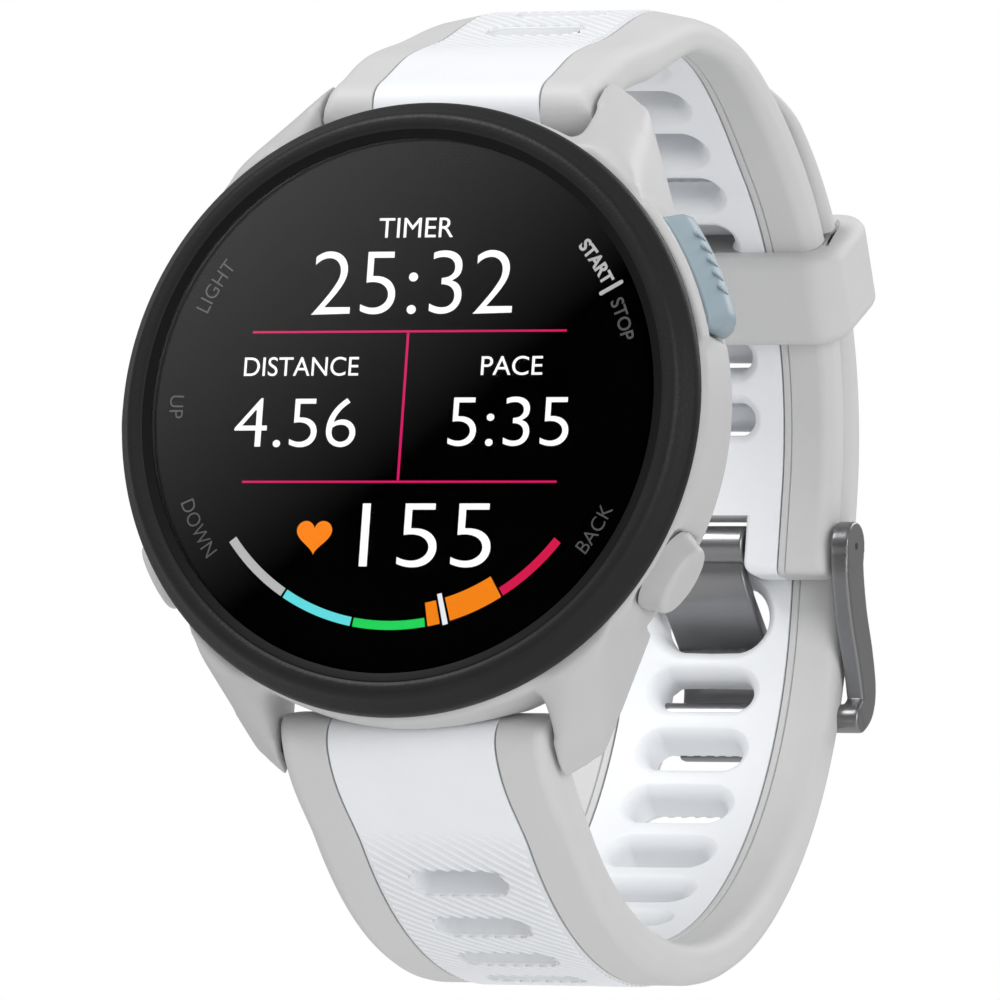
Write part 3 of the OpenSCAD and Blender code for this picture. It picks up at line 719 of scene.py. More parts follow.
def rails(half, last, sizes, end_round=0.0):
    """Both grey rails of a strap half, with the last end rounded."""
    points = rail_section(sizes.rail_round / MM)
    stations = nose_stations(half) + half.stations(8.0, last - end_round, 0.75)[1:]
    places = [half.place(s) @ rail_lean(s) if half is SHORT else half.place(s) for s in stations]
    if end_round:
        places += end_places(half, last, end_round, HALF_W - INSERT_HALF, STRAP_T / 2, 5)
    bm = bmesh.new()
    sweep(bm, points, places)
    mirror(bm)
    return bm


def end_places(half, last, end_round, width, height, count):
    """Places that draw a section in towards the seam round its last end."""
    places = []
    for k in range(1, count + 1):
        turn = math.radians(90 * k / count)
        inward = end_round * (1 - math.cos(turn))
        shrink = Matrix.Diagonal((1 - inward / width, 1 - inward / height, 1, 1))
        seam = Matrix.Translation((INSERT_HALF, STRAP_T / 2, 0))
        place = half.place(last - end_round * (1 - math.sin(turn)))
        places.append(place @ seam @ shrink @ seam.inverted())
    return places


def mirror(bm):
    """Adds the same shape on the other side of the strap's middle."""
    copy = bmesh.ops.duplicate(bm, geom=bm.verts[:] + bm.edges[:] + bm.faces[:])["geom"]
    bmesh.ops.scale(bm, vec=(-1, 1, 1), verts=only_verts(copy))
    bmesh.ops.recalc_face_normals(bm, faces=bm.faces)


def grow_ring(bm, ring, points):
    """Extrudes a closed ring and moves the new ring's corners to points, in the same order."""
    edges = [bm.edges.get((ring[k - 1], ring[k])) for k in range(len(ring))]
    made = bmesh.ops.extrude_edge_only(bm, edges=edges)["geom"]
    fresh = set(only_verts(made))
    grown = [next(e.other_vert(v) for e in v.link_edges if e.other_vert(v) in fresh) for v in ring]
    for vert, point in zip(grown, points):
        vert.co = point
    return grown


def slot_cell(bm, mid, start, stop, half_w, half_h, flare):
    """A piece of the flat insert from start to stop along it, with one round-ended slot."""
    count = 32
    turns = [(math.cos(2 * math.pi * k / count), math.sin(2 * math.pi * k / count)) for k in range(count)]

    def border(height):
        """The piece's four-sided edge."""
        points = []
        for c, n in turns:
            reach = max(abs(c), abs(n))
            room = (stop - mid) if n > 0 else (mid - start)
            points.append((c / reach * INSERT_HALF, mid + n / reach * room, height))
        return points

    def opening(height, grow):
        """The slot's edge at a height, widened by grow."""
        points = []
        for c, n in turns:
            shift = math.copysign(half_w - half_h, c) if abs(c) > 1e-5 else 0.0
            points.append((c * (half_h + grow) + shift, mid + n * (half_h + grow), height))
        return points

    ring = [bm.verts.new(point) for point in border(STRAP_T)]
    for k in range(count):
        bm.edges.new((ring[k - 1], ring[k]))
    for height, grow in (
            (STRAP_T, 0.10), (STRAP_T - 0.1, 0.0), (1.35, 0.0), (0.95, flare * 0.08),
            (0.6, flare * 0.25), (0.3, flare * 0.5), (0.08, flare * 0.8), (0.0, flare)):
        ring = grow_ring(bm, ring, opening(height, grow))
    grow_ring(bm, ring, border(0.0))


def plain_run(bm, stations):
    """A plain piece of the flat insert, with the same points across as a slotted piece."""
    count = 32
    eighth = count // 8
    across = [math.tan(math.radians(45.0 * k / eighth)) for k in range(-eighth, eighth + 1)]
    for low, high in zip(stations[:-1], stations[1:]):
        for height in (0.0, STRAP_T):
            for left, right in zip(across[:-1], across[1:]):
                bm.faces.new([bm.verts.new((x * INSERT_HALF, s, height)) for x, s in (
                    (left, low), (right, low), (right, high), (left, high))])


def insert(half, slots, last, sizes, flare, notch=None):
    """The white insert of a strap half: slots are (middle, half width, half height) along it."""
    bm = bmesh.new()
    first_gap = slots[0][0] - slots[0][2] - 1.3
    bounds = [first_gap]
    for (mid, _, high), (next_mid, _, next_high) in zip(slots[:-1], slots[1:]):
        bounds.append((mid + high + next_mid - next_high) / 2)
    bounds.append(min(slots[-1][0] + slots[-1][2] + 1.3, last))
    for (mid, wide, high), start, stop in zip(slots, bounds[:-1], bounds[1:]):
        room = min(mid - high - start, stop - mid - high) - 0.08
        slot_cell(bm, mid, start, stop, wide, high, min(flare, room))
    plain_run(bm, nose_stations(half, first_gap))
    if last - bounds[-1] > 0.05:
        plain_run(bm, half.stations(bounds[-1], last, 0.75))
    bmesh.ops.remove_doubles(bm, verts=bm.verts, dist=0.002)
    close_sides(bm)
    bmesh.ops.recalc_face_normals(bm, faces=bm.faces)
    corners = [e for e in bm.edges if all(abs(abs(v.co.x) - INSERT_HALF) < 0.01 for v in e.verts)
               and abs(e.verts[0].co.z - e.verts[1].co.z) < 0.01 and len(e.link_faces) == 2]
    bmesh.ops.bevel(bm, geom=corners, offset=0.08, offset_type="OFFSET", affect="EDGES",
                    segments=2, profile=0.5, material=-1)
    bend(bm, half)
    return bm


def rib_field(half, slots, start, stop, slope, sizes):
    """Fine slanted ridges on the insert's outer face, left out over the slots."""
    pitch = sizes.rib_pitch / MM / 0.78
    reach, step, tall = INSERT_HALF - 0.3, 0.15, 0.13
    bm = bmesh.new()
    edges = []
    middle = start - reach * abs(slope)
    while middle < stop + reach * abs(slope):
        corners = [bm.verts.new((-reach, middle - slope * reach + shift, STRAP_T + height))
                   for shift, height in ((-0.28, -0.06), (0.0, tall), (0.28, -0.06))]
        edges += [bm.edges.new((corners[k - 1], corners[k])) for k in range(3)]
        middle += pitch
    for _ in range(round(2 * reach / step)):
        verts, edges = carry(bm, edges)
        bmesh.ops.translate(bm, verts=verts, vec=(step, step * slope, 0))
    openings = [(mid, wide - high, high + 0.06) for mid, wide, high in slots]
    unwanted = [f for f in bm.faces if not start < f.calc_center_median().y < stop
                or all(slot_edge(v.co, openings) is not None for v in f.verts)]
    bmesh.ops.delete(bm, geom=unwanted, context="FACES")
    for vert in bm.verts:
        edge = slot_edge(vert.co, openings)
        if edge is not None:
            vert.co.y = edge
    bmesh.ops.holes_fill(bm, edges=[e for e in bm.edges if len(e.link_faces) == 1], sides=0)
    bmesh.ops.recalc_face_normals(bm, faces=bm.faces)
    for vert in bm.verts:
        if vert.co.z > STRAP_T:
            vert.co.z = STRAP_T + tall * (1.3 * ease((vert.co.y - start + 0.3) / 5.0) - 0.3)
    bend(bm, half)
    return bm


def slot_edge(point, openings):
    """The nearest edge along the strap of the slot that a point lies in, or None outside the slots."""
    for mid, run, radius in openings:
        over = max(abs(point.x) - run, 0.0)
        if over < radius and math.hypot(over, point.y - mid) < radius:
            return mid + math.copysign(math.sqrt(radius * radius - over * over), point.y - mid)
    return None


def close_sides(bm):
    """Closes the insert's long sides and ends between its outer and inner faces."""
    rim = [e for e in bm.edges if len(e.link_faces) == 1 and min(v.co.z for v in e.verts) > STRAP_T / 2]
    made = bmesh.ops.extrude_edge_only(bm, edges=rim)["geom"]
    bmesh.ops.translate(bm, verts=only_verts(made), vec=(0, 0, -STRAP_T))
    bmesh.ops.remove_doubles(bm, verts=bm.verts, dist=0.002)


def bend(bm, half):
    """Notes each corner's flat place as its UV and then bends the flat shape round the loop."""
    layer = bm.loops.layers.uv.new("strap")
    outer = bm.verts.layers.float.new("outer_face")
    for face in bm.faces:
        for loop in face.loops:
            loop[layer].uv = (loop.vert.co.x, loop.vert.co.y)
    for vert in bm.verts:
        vert[outer] = vert.co.z / STRAP_T
        vert.co = half.point(*vert.co)


# ---- Operators ----

def settings(context):
    return context.scene.watch_sizes, context.scene.watch_colours


class WATCH_OT_finishes(bpy.types.Operator):
    """Make every material and give each CAD node its own"""
    bl_idname = "watch.finishes"
    bl_label = "Finishes"

    def execute(self, context):
        _, colours = settings(context)
        make_finishes(colours)
        for finish, nodes in NODE_FINISHES.items():
            for node in nodes:
                owner = frame["nodes"][node]
                owner.data.materials.clear()
                owner.data.materials.append(Finish.made[finish].material)
        return {"FINISHED"}


# A lug's outer front corner is cut by a plane through LUG_CORNER that faces LUG_SLOPE.
LUG_CORNER = (12.0, -4.0, 21.0)
LUG_SLOPE = (0.618, -0.384, 0.686)


class WATCH_OT_case(bpy.types.Operator):
    """Build the moulded case with its lugs"""
    bl_idname = "watch.case"
    bl_label = "Case"

    def execute(self, context):
        sizes, _ = settings(context)
        rounds = max(1, round(sizes.edge_round / MM * 40))
        bm = cad_copy("case_middle")
        for across, up in ((-1, -1), (-1, 1), (1, -1), (1, 1)):
            corner = Vector((LUG_CORNER[0] * across, LUG_CORNER[1], LUG_CORNER[2] * up))
            facing = Vector((LUG_SLOPE[0] * across, LUG_SLOPE[1], LUG_SLOPE[2] * up))
            self.slope(bm, corner, facing)
        self.lip(bm)
        bm = remeshed(bm, 0.21, rounds)
        flank = [v for v in bm.verts if v.co.y < -2.5 and abs(v.co.z) < 22
                 and math.hypot(v.co.x, v.co.z) > 21.8]
        smooth(bm, flank, 40)
        piece("case_body", bm, "case_polymer", "watch", ["case_middle"], 60, False)
        return {"FINISHED"}

    def lip(self, bm):
        """The case's front edge over the start button's pocket."""
        part = bmesh.new()
        low, high, back, front = 20.7, 21.85, -6.45, -7.38
        rounded_face(part, [(low, front, 0), (high, front, 0), (high, back, 0), (low, back, 0)])
        bmesh.ops.rotate(part, verts=part.verts, cent=(0, 0, 0),
                         matrix=Matrix.Rotation(-math.radians(13), 3, "Y"))
        bmesh.ops.spin(part, geom=part.verts[:] + part.edges[:] + part.faces[:], cent=(0, 0, 0),
                       axis=(0, 1, 0), dvec=(0, 0, 0), angle=-math.radians(29), steps=24,
                       use_merge=False, use_duplicate=False)
        tidy_shell(part, 0.0005)
        join(bm, part)

    def slope(self, bm, point, normal):
        """Slopes a lug's outer front corner down to its tip."""
        cut_across(bm, point, normal, keep=False)
        bmesh.ops.holes_fill(bm, edges=[e for e in bm.edges if len(e.link_faces) == 1], sides=0)


class WATCH_OT_bezel(bpy.types.Operator):
    """Build the grained bezel ring and the dark lip over the glass's edge"""
    bl_idname = "watch.bezel"
    bl_label = "Bezel"

    def execute(self, context):
        inner = LENS_R + 0.03
        bm = spun([
            (inner - 0.8, -8.4, 0.0), (inner, -8.4, 0.0), (inner, LENS_FACE - 0.02, 0.0),
            (inner + 0.5, LENS_FACE - 0.02, 0.0), (inner + 0.5, BEZEL_TOP + 0.12, 0.03),
            (inner + 0.75, BEZEL_TOP + 0.02, 0.1), (inner + 1.5, BEZEL_TOP, 0.3),
            (BEZEL_R - 0.85, -9.3, 0.35), (BEZEL_R - 0.05, -8.35, 0.3), (BEZEL_R, -7.75, 0.15),
            (BEZEL_R - 0.2, BEZEL_SEAT, 0.05), (inner - 0.8, BEZEL_SEAT, 0.0)])
        piece("bezel_ring", bm, "bezel_black", "watch", ["bezel"])
        bm = spun([
            (inner - 0.14, LENS_FACE - 0.02, 0.0), (inner - 0.14, LENS_FACE - 0.07, 0.02),
            (inner + 0.42, BEZEL_TOP + 0.15, 0.03), (inner + 0.52, BEZEL_TOP + 0.15, 0.0),
            (inner + 0.52, LENS_FACE - 0.02, 0.0)])
        piece("bezel_lip", bm, "lip_black", "watch")
        return {"FINISHED"}


class WATCH_OT_glass(bpy.types.Operator):
    """Build the cover glass"""
    bl_idname = "watch.glass"
    bl_label = "Cover glass"

    def execute(self, context):
        bm = spun([(0, LENS_FACE, 0), (LENS_R, LENS_FACE, 0.1), (LENS_R, -8.78, 0.05), (0, -8.78, 0)])
        piece("cover_glass", bm, "cover_glass", "watch", ["lens"], 12)
        bm = spun([(0, BORDER_Y, 0), (LENS_R - 0.05, BORDER_Y, 0), (LENS_R - 0.05, DISPLAY_FACE, 0),
                   (0, DISPLAY_FACE, 0)])
        piece("lens_border", bm, "lens_border", "watch", [], 12)
        return {"FINISHED"}


# ---- The display's figures and the printed labels ----

FIGURE_Y = DISPLAY_FACE - 0.03


def flat_text(words, height, width, bold=0.0):
    """Words as a flat mesh centred on its middle, with the given height and width."""
    curve = bpy.data.curves.new("words", "FONT")
    curve.body = words
    curve.align_x = "LEFT"
    curve.extrude = 0.0
    curve.offset = bold
    curve.resolution_u = 8
    holder = bpy.data.objects.new("words", curve)
    bpy.context.scene.collection.objects.link(holder)
    evaluated = holder.evaluated_get(bpy.context.evaluated_depsgraph_get())
    bm = bmesh.new()
    bm.from_mesh(evaluated.to_mesh())
    evaluated.to_mesh_clear()
    bpy.data.objects.remove(holder)
    bpy.data.curves.remove(curve)
    bmesh.ops.remove_doubles(bm, verts=bm.verts, dist=1e-5)
    xs = [v.co.x for v in bm.verts]
    ys = [v.co.y for v in bm.verts]
    bmesh.ops.translate(bm, verts=bm.verts, vec=(-(min(xs) + max(xs)) / 2, -(min(ys) + max(ys)) / 2, 0))
    bmesh.ops.scale(bm, verts=bm.verts, vec=(width / (max(xs) - min(xs)), height / (max(ys) - min(ys)), 1))
    return bm


def thicken(bm, depth=0.02):
    """Gives a flat shape a little depth."""
    made = bmesh.ops.extrude_face_region(bm, geom=bm.faces[:])["geom"]
    bmesh.ops.translate(bm, verts=only_verts(made), vec=(0, 0, depth))
    bmesh.ops.recalc_face_normals(bm, faces=bm.faces)


def on_display(bm, x, z, y=FIGURE_Y, depth=0.02):
    """Stands a flat shape up on the display's plane, with its middle at x and z."""
    thicken(bm, depth)
    bmesh.ops.transform(bm, verts=bm.verts,
                        matrix=Matrix.Translation((x, y, z)) @ Matrix.Rotation(math.pi / 2, 4, "X"))


def bend_round(bm, radius, angle, tops_out):
    """Bends flat words round the dial, at a radius and a dial angle."""
    for vert in bm.verts:
        turn = math.radians(angle) - (vert.co.x if tops_out else -vert.co.x) / radius
        reach = radius + (vert.co.y if tops_out else -vert.co.y)
        vert.co.x = reach * math.cos(turn)
        vert.co.y = reach * math.sin(turn)


FIGURES = [
    # name, words, middle x, middle z, height, width, offset, finish
    ("figure_timer_label", "TIMER", 0.0, 12.4, 1.36, 5.5, 0.0, "display_white"),
    ("figure_timer", "25:32", 0.05, 8.6, 4.4, 14.8, -0.012, "display_white"),
    ("figure_distance_label", "DISTANCE", -7.8, 2.8, 1.32, 8.5, 0.0, "display_white"),
    ("figure_distance", "4.56", -7.95, -1.1, 3.4, 9.0, -0.010, "display_white"),
    ("figure_pace_label", "PACE", 7.75, 2.8, 1.32, 4.5, 0.0, "display_white"),
    ("figure_pace", "5:35", 7.8, -1.05, 3.4, 8.8, -0.010, "display_white"),
    ("figure_rate", "155", 2.3, -8.9, 4.4, 9.6, -0.012, "display_white"),
]

LABELS = [
    # name, words, radius, dial angle, height, width, tops outwards, offset, finish
    ("label_start", "START", 16.75, 36.4, 0.98, 3.5, True, 0.035, "ink_white"),
    ("label_stop", "STOP", 16.75, 20.8, 0.98, 3.0, True, 0.010, "ink_grey"),
    ("label_back", "BACK", 16.9, -30.0, 1.0, 3.5, False, -0.008, "ink_grey"),
    ("label_light", "LIGHT", 16.9, 150.0, 1.0, 3.9, True, -0.008, "ink_grey"),
    ("label_up", "UP", 16.9, 180.0, 1.0, 1.6, False, -0.008, "ink_grey"),
    ("label_down", "DOWN", 16.9, 210.0, 1.0, 4.3, False, -0.008, "ink_grey"),
]

ZONES = [
    # name, from, to, thickness, middle radius, finish
    ("zone_1", 217.5, 238.2, 0.62, 15.1, "zone_grey"),
    ("zone_2", 238.9, 259.3, 0.62, 15.1, "zone_cyan"),
    ("zone_3", 260.0, 280.1, 0.62, 15.1, "zone_green"),
    ("zone_4", 280.8, 301.8, 1.65, 14.6, "zone_orange"),
    ("zone_5", 302.4, 322.4, 0.62, 15.1, "zone_red"),
]


def sector(start, stop, thickness, radius):
    """A flat piece of a ring between two dial angles."""
    bm = bmesh.new()
    one = bm.verts.new((radius - thickness / 2, 0, 0))
    other = bm.verts.new((radius + thickness / 2, 0, 0))
    edge = bm.edges.new((one, other))
    bmesh.ops.rotate(bm, verts=[one, other], cent=(0, 0, 0),
                     matrix=Matrix.Rotation(math.radians(start), 3, "Z"))
    bmesh.ops.spin(bm, geom=[one, other, edge], cent=(0, 0, 0), axis=(0, 0, 1), dvec=(0, 0, 0),
                   angle=math.radians(stop - start), steps=24, use_merge=False, use_duplicate=False)
    return bm


def bar(x0, x1, z0, z1, corner=0.0):
    bm = bmesh.new()
    rounded_face(bm, [(x0, z0, corner), (x1, z0, corner), (x1, z1, corner), (x0, z1, corner)])
    return bm


class WATCH_OT_figures(bpy.types.Operator):
    """Build the display's figures, lines, heart and zone arc"""
    bl_idname = "watch.figures"
    bl_label = "Display figures"

    def execute(self, context):
        for name, words, x, z, height, width, bold, finish in FIGURES:
            bm = flat_text(words, height, width, bold)
            on_display(bm, x, z)
            piece(name, bm, finish, "watch")
        for name, z in (("line_upper", 5.2), ("line_lower", -5.2)):
            bm = bar(-11.6, 11.6, -0.075, 0.075)
            on_display(bm, 0, z)
            piece(name, bm, "display_accent", "watch")
        bm = bar(-0.09, 0.09, -5.1, 5.1)
        on_display(bm, -0.05, 0)
        piece("line_middle", bm, "display_accent", "watch")
        for name, start, stop, thickness, radius, finish in ZONES:
            bm = sector(start, stop, thickness, radius)
            on_display(bm, 0, 0)
            piece(name, bm, finish, "watch")
        for name, start, stop, thickness, finish, y in (
                ("zone_tick_edge", 284.2, 287.0, 2.2, "display_black", FIGURE_Y - 0.02),
                ("zone_tick", 284.9, 286.3, 2.2, "zone_mark", FIGURE_Y - 0.04)):
            bm = sector(start, stop, thickness, 14.5)
            on_display(bm, 0, 0, y)
            piece(name, bm, finish, "watch")
        piece("figure_heart", self.heart(), "display_heart", "watch")
        return {"FINISHED"}

    def heart(self):
        bm = bmesh.new()
        made = bmesh.ops.create_circle(bm, cap_ends=True, radius=1.0, segments=64)["verts"]
        for vert in made:
            t = math.atan2(vert.co.x, vert.co.y)
            vert.co.x = 1.3 * math.sin(t) ** 3
            vert.co.y = 1.3 * (13 * math.cos(t) - 5 * math.cos(2 * t) - 2 * math.cos(3 * t)
                               - math.cos(4 * t)) / 16 + 0.12
        on_display(bm, -5.95, -9.0)
        return bm


class WATCH_OT_labels(bpy.types.Operator):
    """Build the printed button labels under the glass"""
    bl_idname = "watch.labels"
    bl_label = "Button labels"

    def execute(self, context):
        for name, words, radius, angle, height, width, tops_out, bold, finish in LABELS:
            bm = flat_text(words, height, width, bold)
            bend_round(bm, radius, angle, tops_out)
            on_display(bm, 0, 0, LABEL_Y)
            piece(name, bm, finish, "watch")
        bm = bar(-0.14, 0.14, -0.95, 0.95, 0.13)
        for vert in bm.verts:
            vert.co.x, vert.co.y = vert.co.y + 16.75, vert.co.x
        bmesh.ops.rotate(bm, verts=bm.verts, cent=(0, 0, 0),
                         matrix=Matrix.Rotation(math.radians(29.0), 3, "Z"))
        on_display(bm, 0, 0, LABEL_Y)
        piece("label_bar", bm, "ink_white", "watch")
        return {"FINISHED"}


# ---- Buttons ----

BUTTON_Y = -4.6
START_MIDDLE = 27.2
START_HALF = 11.6
START_SEAT = 21.4
OVALS = (
    # node, dial angle, half depth, how far the cap stands out
    ("back_button", -30.0, 1.85, 1.3),
    ("light_button", 150.0, 1.5, 0.95),
    ("up_button", 180.0, 1.5, 0.95),
    ("down_button", 210.0, 1.5, 0.95),
)


class WATCH_OT_start_button(bpy.types.Operator):
    """Build the long start button with its sloped faces and ribs"""
    bl_idname = "watch.start_button"
    bl_label = "Start button"

    def execute(self, context):
        bm = bmesh.new()
        outline = section_points([
            (21.0, -1.8, 0.0), (21.95, -1.8, 0.12), (22.9, -0.35, 0.25), (23.0, 0.8, 0.3),
            (22.2, 2.2, 0.3), (21.0, 2.2, 0.0)], 3)
        places = []
        for k in range(33):
            t = k / 16 - 1
            angle = START_MIDDLE + START_HALF * t
            taper = min(1.0, (1.0 - abs(t)) / (0.22 if t < 0 else 0.15))
            reach = 0.3 + 0.7 * math.sqrt(taper * (2 - taper))
            turn = Matrix.Rotation(-math.radians(angle), 4, "Y")
            base = Matrix.Translation((START_SEAT, BUTTON_Y, 0))
            places.append(turn @ base @ Matrix.Diagonal((reach, 0.8 + 0.2 * reach, 1, 1))
                          @ Matrix.Translation((-START_SEAT, 0, 0)))
        sweep(bm, outline, places)
        self.ribs(bm)
        bmesh.ops.recalc_face_normals(bm, faces=bm.faces)
        piece("start_cap", bm, "start_blue", "start_button", ["start_button"], 40)
        return {"FINISHED"}

    def ribs(self, bm):
        """Five slanted ribs stand on the outer face."""
        for k in range(-2, 3):
            part = bmesh.new()
            rounded_face(part, [(-0.16, -0.55, 0.12), (0.16, -0.55, 0.12),
                                (0.5, 0.65, 0.12), (0.18, 0.65, 0.12)])
            thicken(part, 0.14)
            place = dial_place(START_MIDDLE + k * 2.6, 22.88, BUTTON_Y - 0.25)
            bmesh.ops.transform(part, matrix=place, verts=part.verts)
            join(bm, part)


def join(bm, part):
    """Adds another shape to this one."""
    mesh = bpy.data.meshes.new("part")
    part.to_mesh(mesh)
    part.free()
    bm.from_mesh(mesh)
    bpy.data.meshes.remove(mesh)


def rod(radius, length, segments=32):
    """A rod along x with its middle at 0."""
    bm = bmesh.new()
    bmesh.ops.create_cone(bm, cap_ends=True, segments=segments, radius1=radius, radius2=radius, depth=length)
    bmesh.ops.rotate(bm, verts=bm.verts, cent=(0, 0, 0), matrix=Matrix.Rotation(math.pi / 2, 3, "Y"))
    return bm


class WATCH_OT_oval_buttons(bpy.types.Operator):
    """Build the four oval buttons"""
    bl_idname = "watch.oval_buttons"
    bl_label = "Oval buttons"

    def execute(self, context):
        for node, angle, half_depth, proud in OVALS:
            bm = bmesh.new()
            bmesh.ops.create_circle(bm, cap_ends=True, radius=1.0, segments=48)
            bmesh.ops.scale(bm, verts=bm.verts, vec=(2.6, half_depth, 1))
            made = bmesh.ops.extrude_face_region(bm, geom=bm.faces[:])["geom"]
            bmesh.ops.translate(bm, verts=only_verts(made), vec=(0, 0, proud))
            face = [f for f in made if isinstance(f, bmesh.types.BMFace)]
            bmesh.ops.recalc_face_normals(bm, faces=bm.faces)
            rim = list(face[0].edges)
            bmesh.ops.bevel(bm, geom=rim, offset=0.55, offset_type="OFFSET", affect="EDGES",
                            segments=5, profile=0.5, material=-1)
            skirt = [v for v in bm.verts if v.co.z < 0.01]
            bmesh.ops.scale(bm, verts=skirt, vec=(1.18, 1.2, 1))
            bmesh.ops.translate(bm, verts=skirt, vec=(0, 0, -0.55))
            bmesh.ops.transform(bm, matrix=dial_place(angle, 21.5, BUTTON_Y), verts=bm.verts)
            piece(node.replace("button", "cap"), bm, "button_grey", node, [node], 40)
        return {"FINISHED"}


# ---- Strap ----

LONG_SLOT_PITCH = math.radians(10) * LONG_MID
LONG_FIRST = math.radians(20) * LONG_MID
TONGUE_SLOT = (LOWER_RUN + 0.05, 4.2, 2.5)
CHEEK_FROM = 3.55


class WATCH_OT_long_half(bpy.types.Operator):
    """Build the long half of the strap"""
    bl_idname = "watch.long_half"
    bl_label = "Long strap half"

    def execute(self, context):
        sizes, _ = settings(context)
        wide = sizes.slot_half_w / MM
        high = sizes.slot_half_h / MM
        bm = rails(LONG, TAIL_ROUND, sizes)
        join(bm, self.tail(sizes))
        bmesh.ops.recalc_face_normals(bm, faces=bm.faces)
        piece("long_rails", bm, "silicone_grey", "watch", ["lower_strap_rails"])
        slots = [(LONG_FIRST + k * LONG_SLOT_PITCH, wide, high) for k in range(12)]
        slots.append(TONGUE_SLOT)
        slots.append((LOWER_RUN + 6.9, wide, high))
        upper = LOWER_RUN + STRAIGHT_RUN + math.radians(7.7) * LONG_MID
        slots += [(upper + k * LONG_SLOT_PITCH, wide, high) for k in range(6)]
        bm = insert(LONG, slots, INSERT_STOP - 0.05, sizes, 0.9)
        piece("long_insert", bm, "silicone_white", "watch", ["lower_strap_insert"])
        bm = rib_field(LONG, slots, 3.6, INSERT_STOP - 0.3, 0.8, sizes)
        piece("long_ribs", bm, "silicone_white", "watch")
        return {"FINISHED"}

    def tail(self, sizes):
        """The tail's round end, where the rails close round the insert."""
        bm = bmesh.new()
        bmesh.ops.create_circle(bm, cap_ends=True, radius=HALF_W, segments=96)
        notch = INSERT_STOP - TAIL_ROUND
        cut_across(bm, (0, 0, 0), (0, -1, 0), keep=False)
        cut_across(bm, (-INSERT_HALF, 0, 0), (1, 0, 0))
        cut_across(bm, (INSERT_HALF, 0, 0), (1, 0, 0))
        cut_across(bm, (0, notch, 0), (0, 1, 0))
        middles = [(f, f.calc_center_median()) for f in bm.faces]
        bmesh.ops.delete(bm, geom=[f for f, c in middles if abs(c.x) < INSERT_HALF and c.y < notch],
                         context="FACES")
        bmesh.ops.dissolve_faces(bm, faces=bm.faces)
        thicken(bm, STRAP_T)
        rim = [e for e in bm.edges if abs(e.verts[0].co.z - e.verts[1].co.z) < 1e-6
               and all(math.hypot(v.co.x, v.co.y) > HALF_W - 0.01 for v in e.verts)
               and e.calc_length() < 1.0]
        bmesh.ops.bevel(bm, geom=rim, offset=sizes.rail_round / MM, offset_type="OFFSET",
                        affect="EDGES", segments=4, profile=0.5, material=-1)
        for k in range(1, 14):
            cut_across(bm, (0, k * 0.7, 0), (0, 1, 0))
        bmesh.ops.translate(bm, verts=bm.verts, vec=(0, TAIL_ROUND, 0))
        for vert in bm.verts:
            vert.co = LONG.point(*vert.co)
        return bm


class WATCH_OT_short_half(bpy.types.Operator):
    """Build the short half of the strap, with the notch for the buckle's tongue"""
    bl_idname = "watch.short_half"
    bl_label = "Short strap half"

    def execute(self, context):
        sizes, _ = settings(context)
        wide = sizes.slot_half_w / MM
        high = sizes.slot_half_h / MM
        bm = rails(SHORT, SHORT_RUN, sizes, 0.5)
        piece("short_rails", bm, "silicone_grey", "watch", ["upper_strap_rails"])
        slots = [(math.radians(FRONT_END - 88.1 - k * 5.7) * FRONT_MID, wide, high) for k in (3, 2, 1)]
        start = SHORT_FRONT_RUN + math.radians(90 - 12) * SHORT_MID
        slots += [(start - k * math.radians(10.6) * SHORT_MID, wide, high) for k in range(7, -1, -1)]
        slots = sorted(slots)
        notch_from = SHORT_RUN - (2.4 - SHORT_END_Z)
        bm = insert(SHORT, slots, notch_from, sizes, 0.9)
        join(bm, self.cheeks(notch_from))
        bmesh.ops.recalc_face_normals(bm, faces=bm.faces)
        piece("short_insert", bm, "silicone_white", "watch", ["upper_strap_insert"])
        bm = rib_field(SHORT, slots, 4.2, notch_from - 1.0, -0.8, sizes)
        piece("short_ribs", bm, "silicone_white", "watch")
        return {"FINISHED"}

    def cheeks(self, notch_from):
        """The insert on both sides of the notch."""
        bm = bmesh.new()
        points = section_points([
            (CHEEK_FROM, 0, 0.35), (INSERT_HALF, 0, 0.08), (INSERT_HALF, STRAP_T, 0.08),
            (CHEEK_FROM, STRAP_T, 0.35)])
        rounding = 0.9
        places = [SHORT.place(s) for s in SHORT.stations(notch_from, SHORT_RUN - rounding, 0.75)]
        places += end_places(SHORT, SHORT_RUN, rounding, INSERT_HALF - CHEEK_FROM, STRAP_T, 6)
        sweep(bm, points, places)
        layer = bm.loops.layers.uv.new("strap")
        for face in bm.faces:
            for loop in face.loops:
                loop[layer].uv = (loop.vert.co.x, notch_from)
        mirror(bm)
        return bm


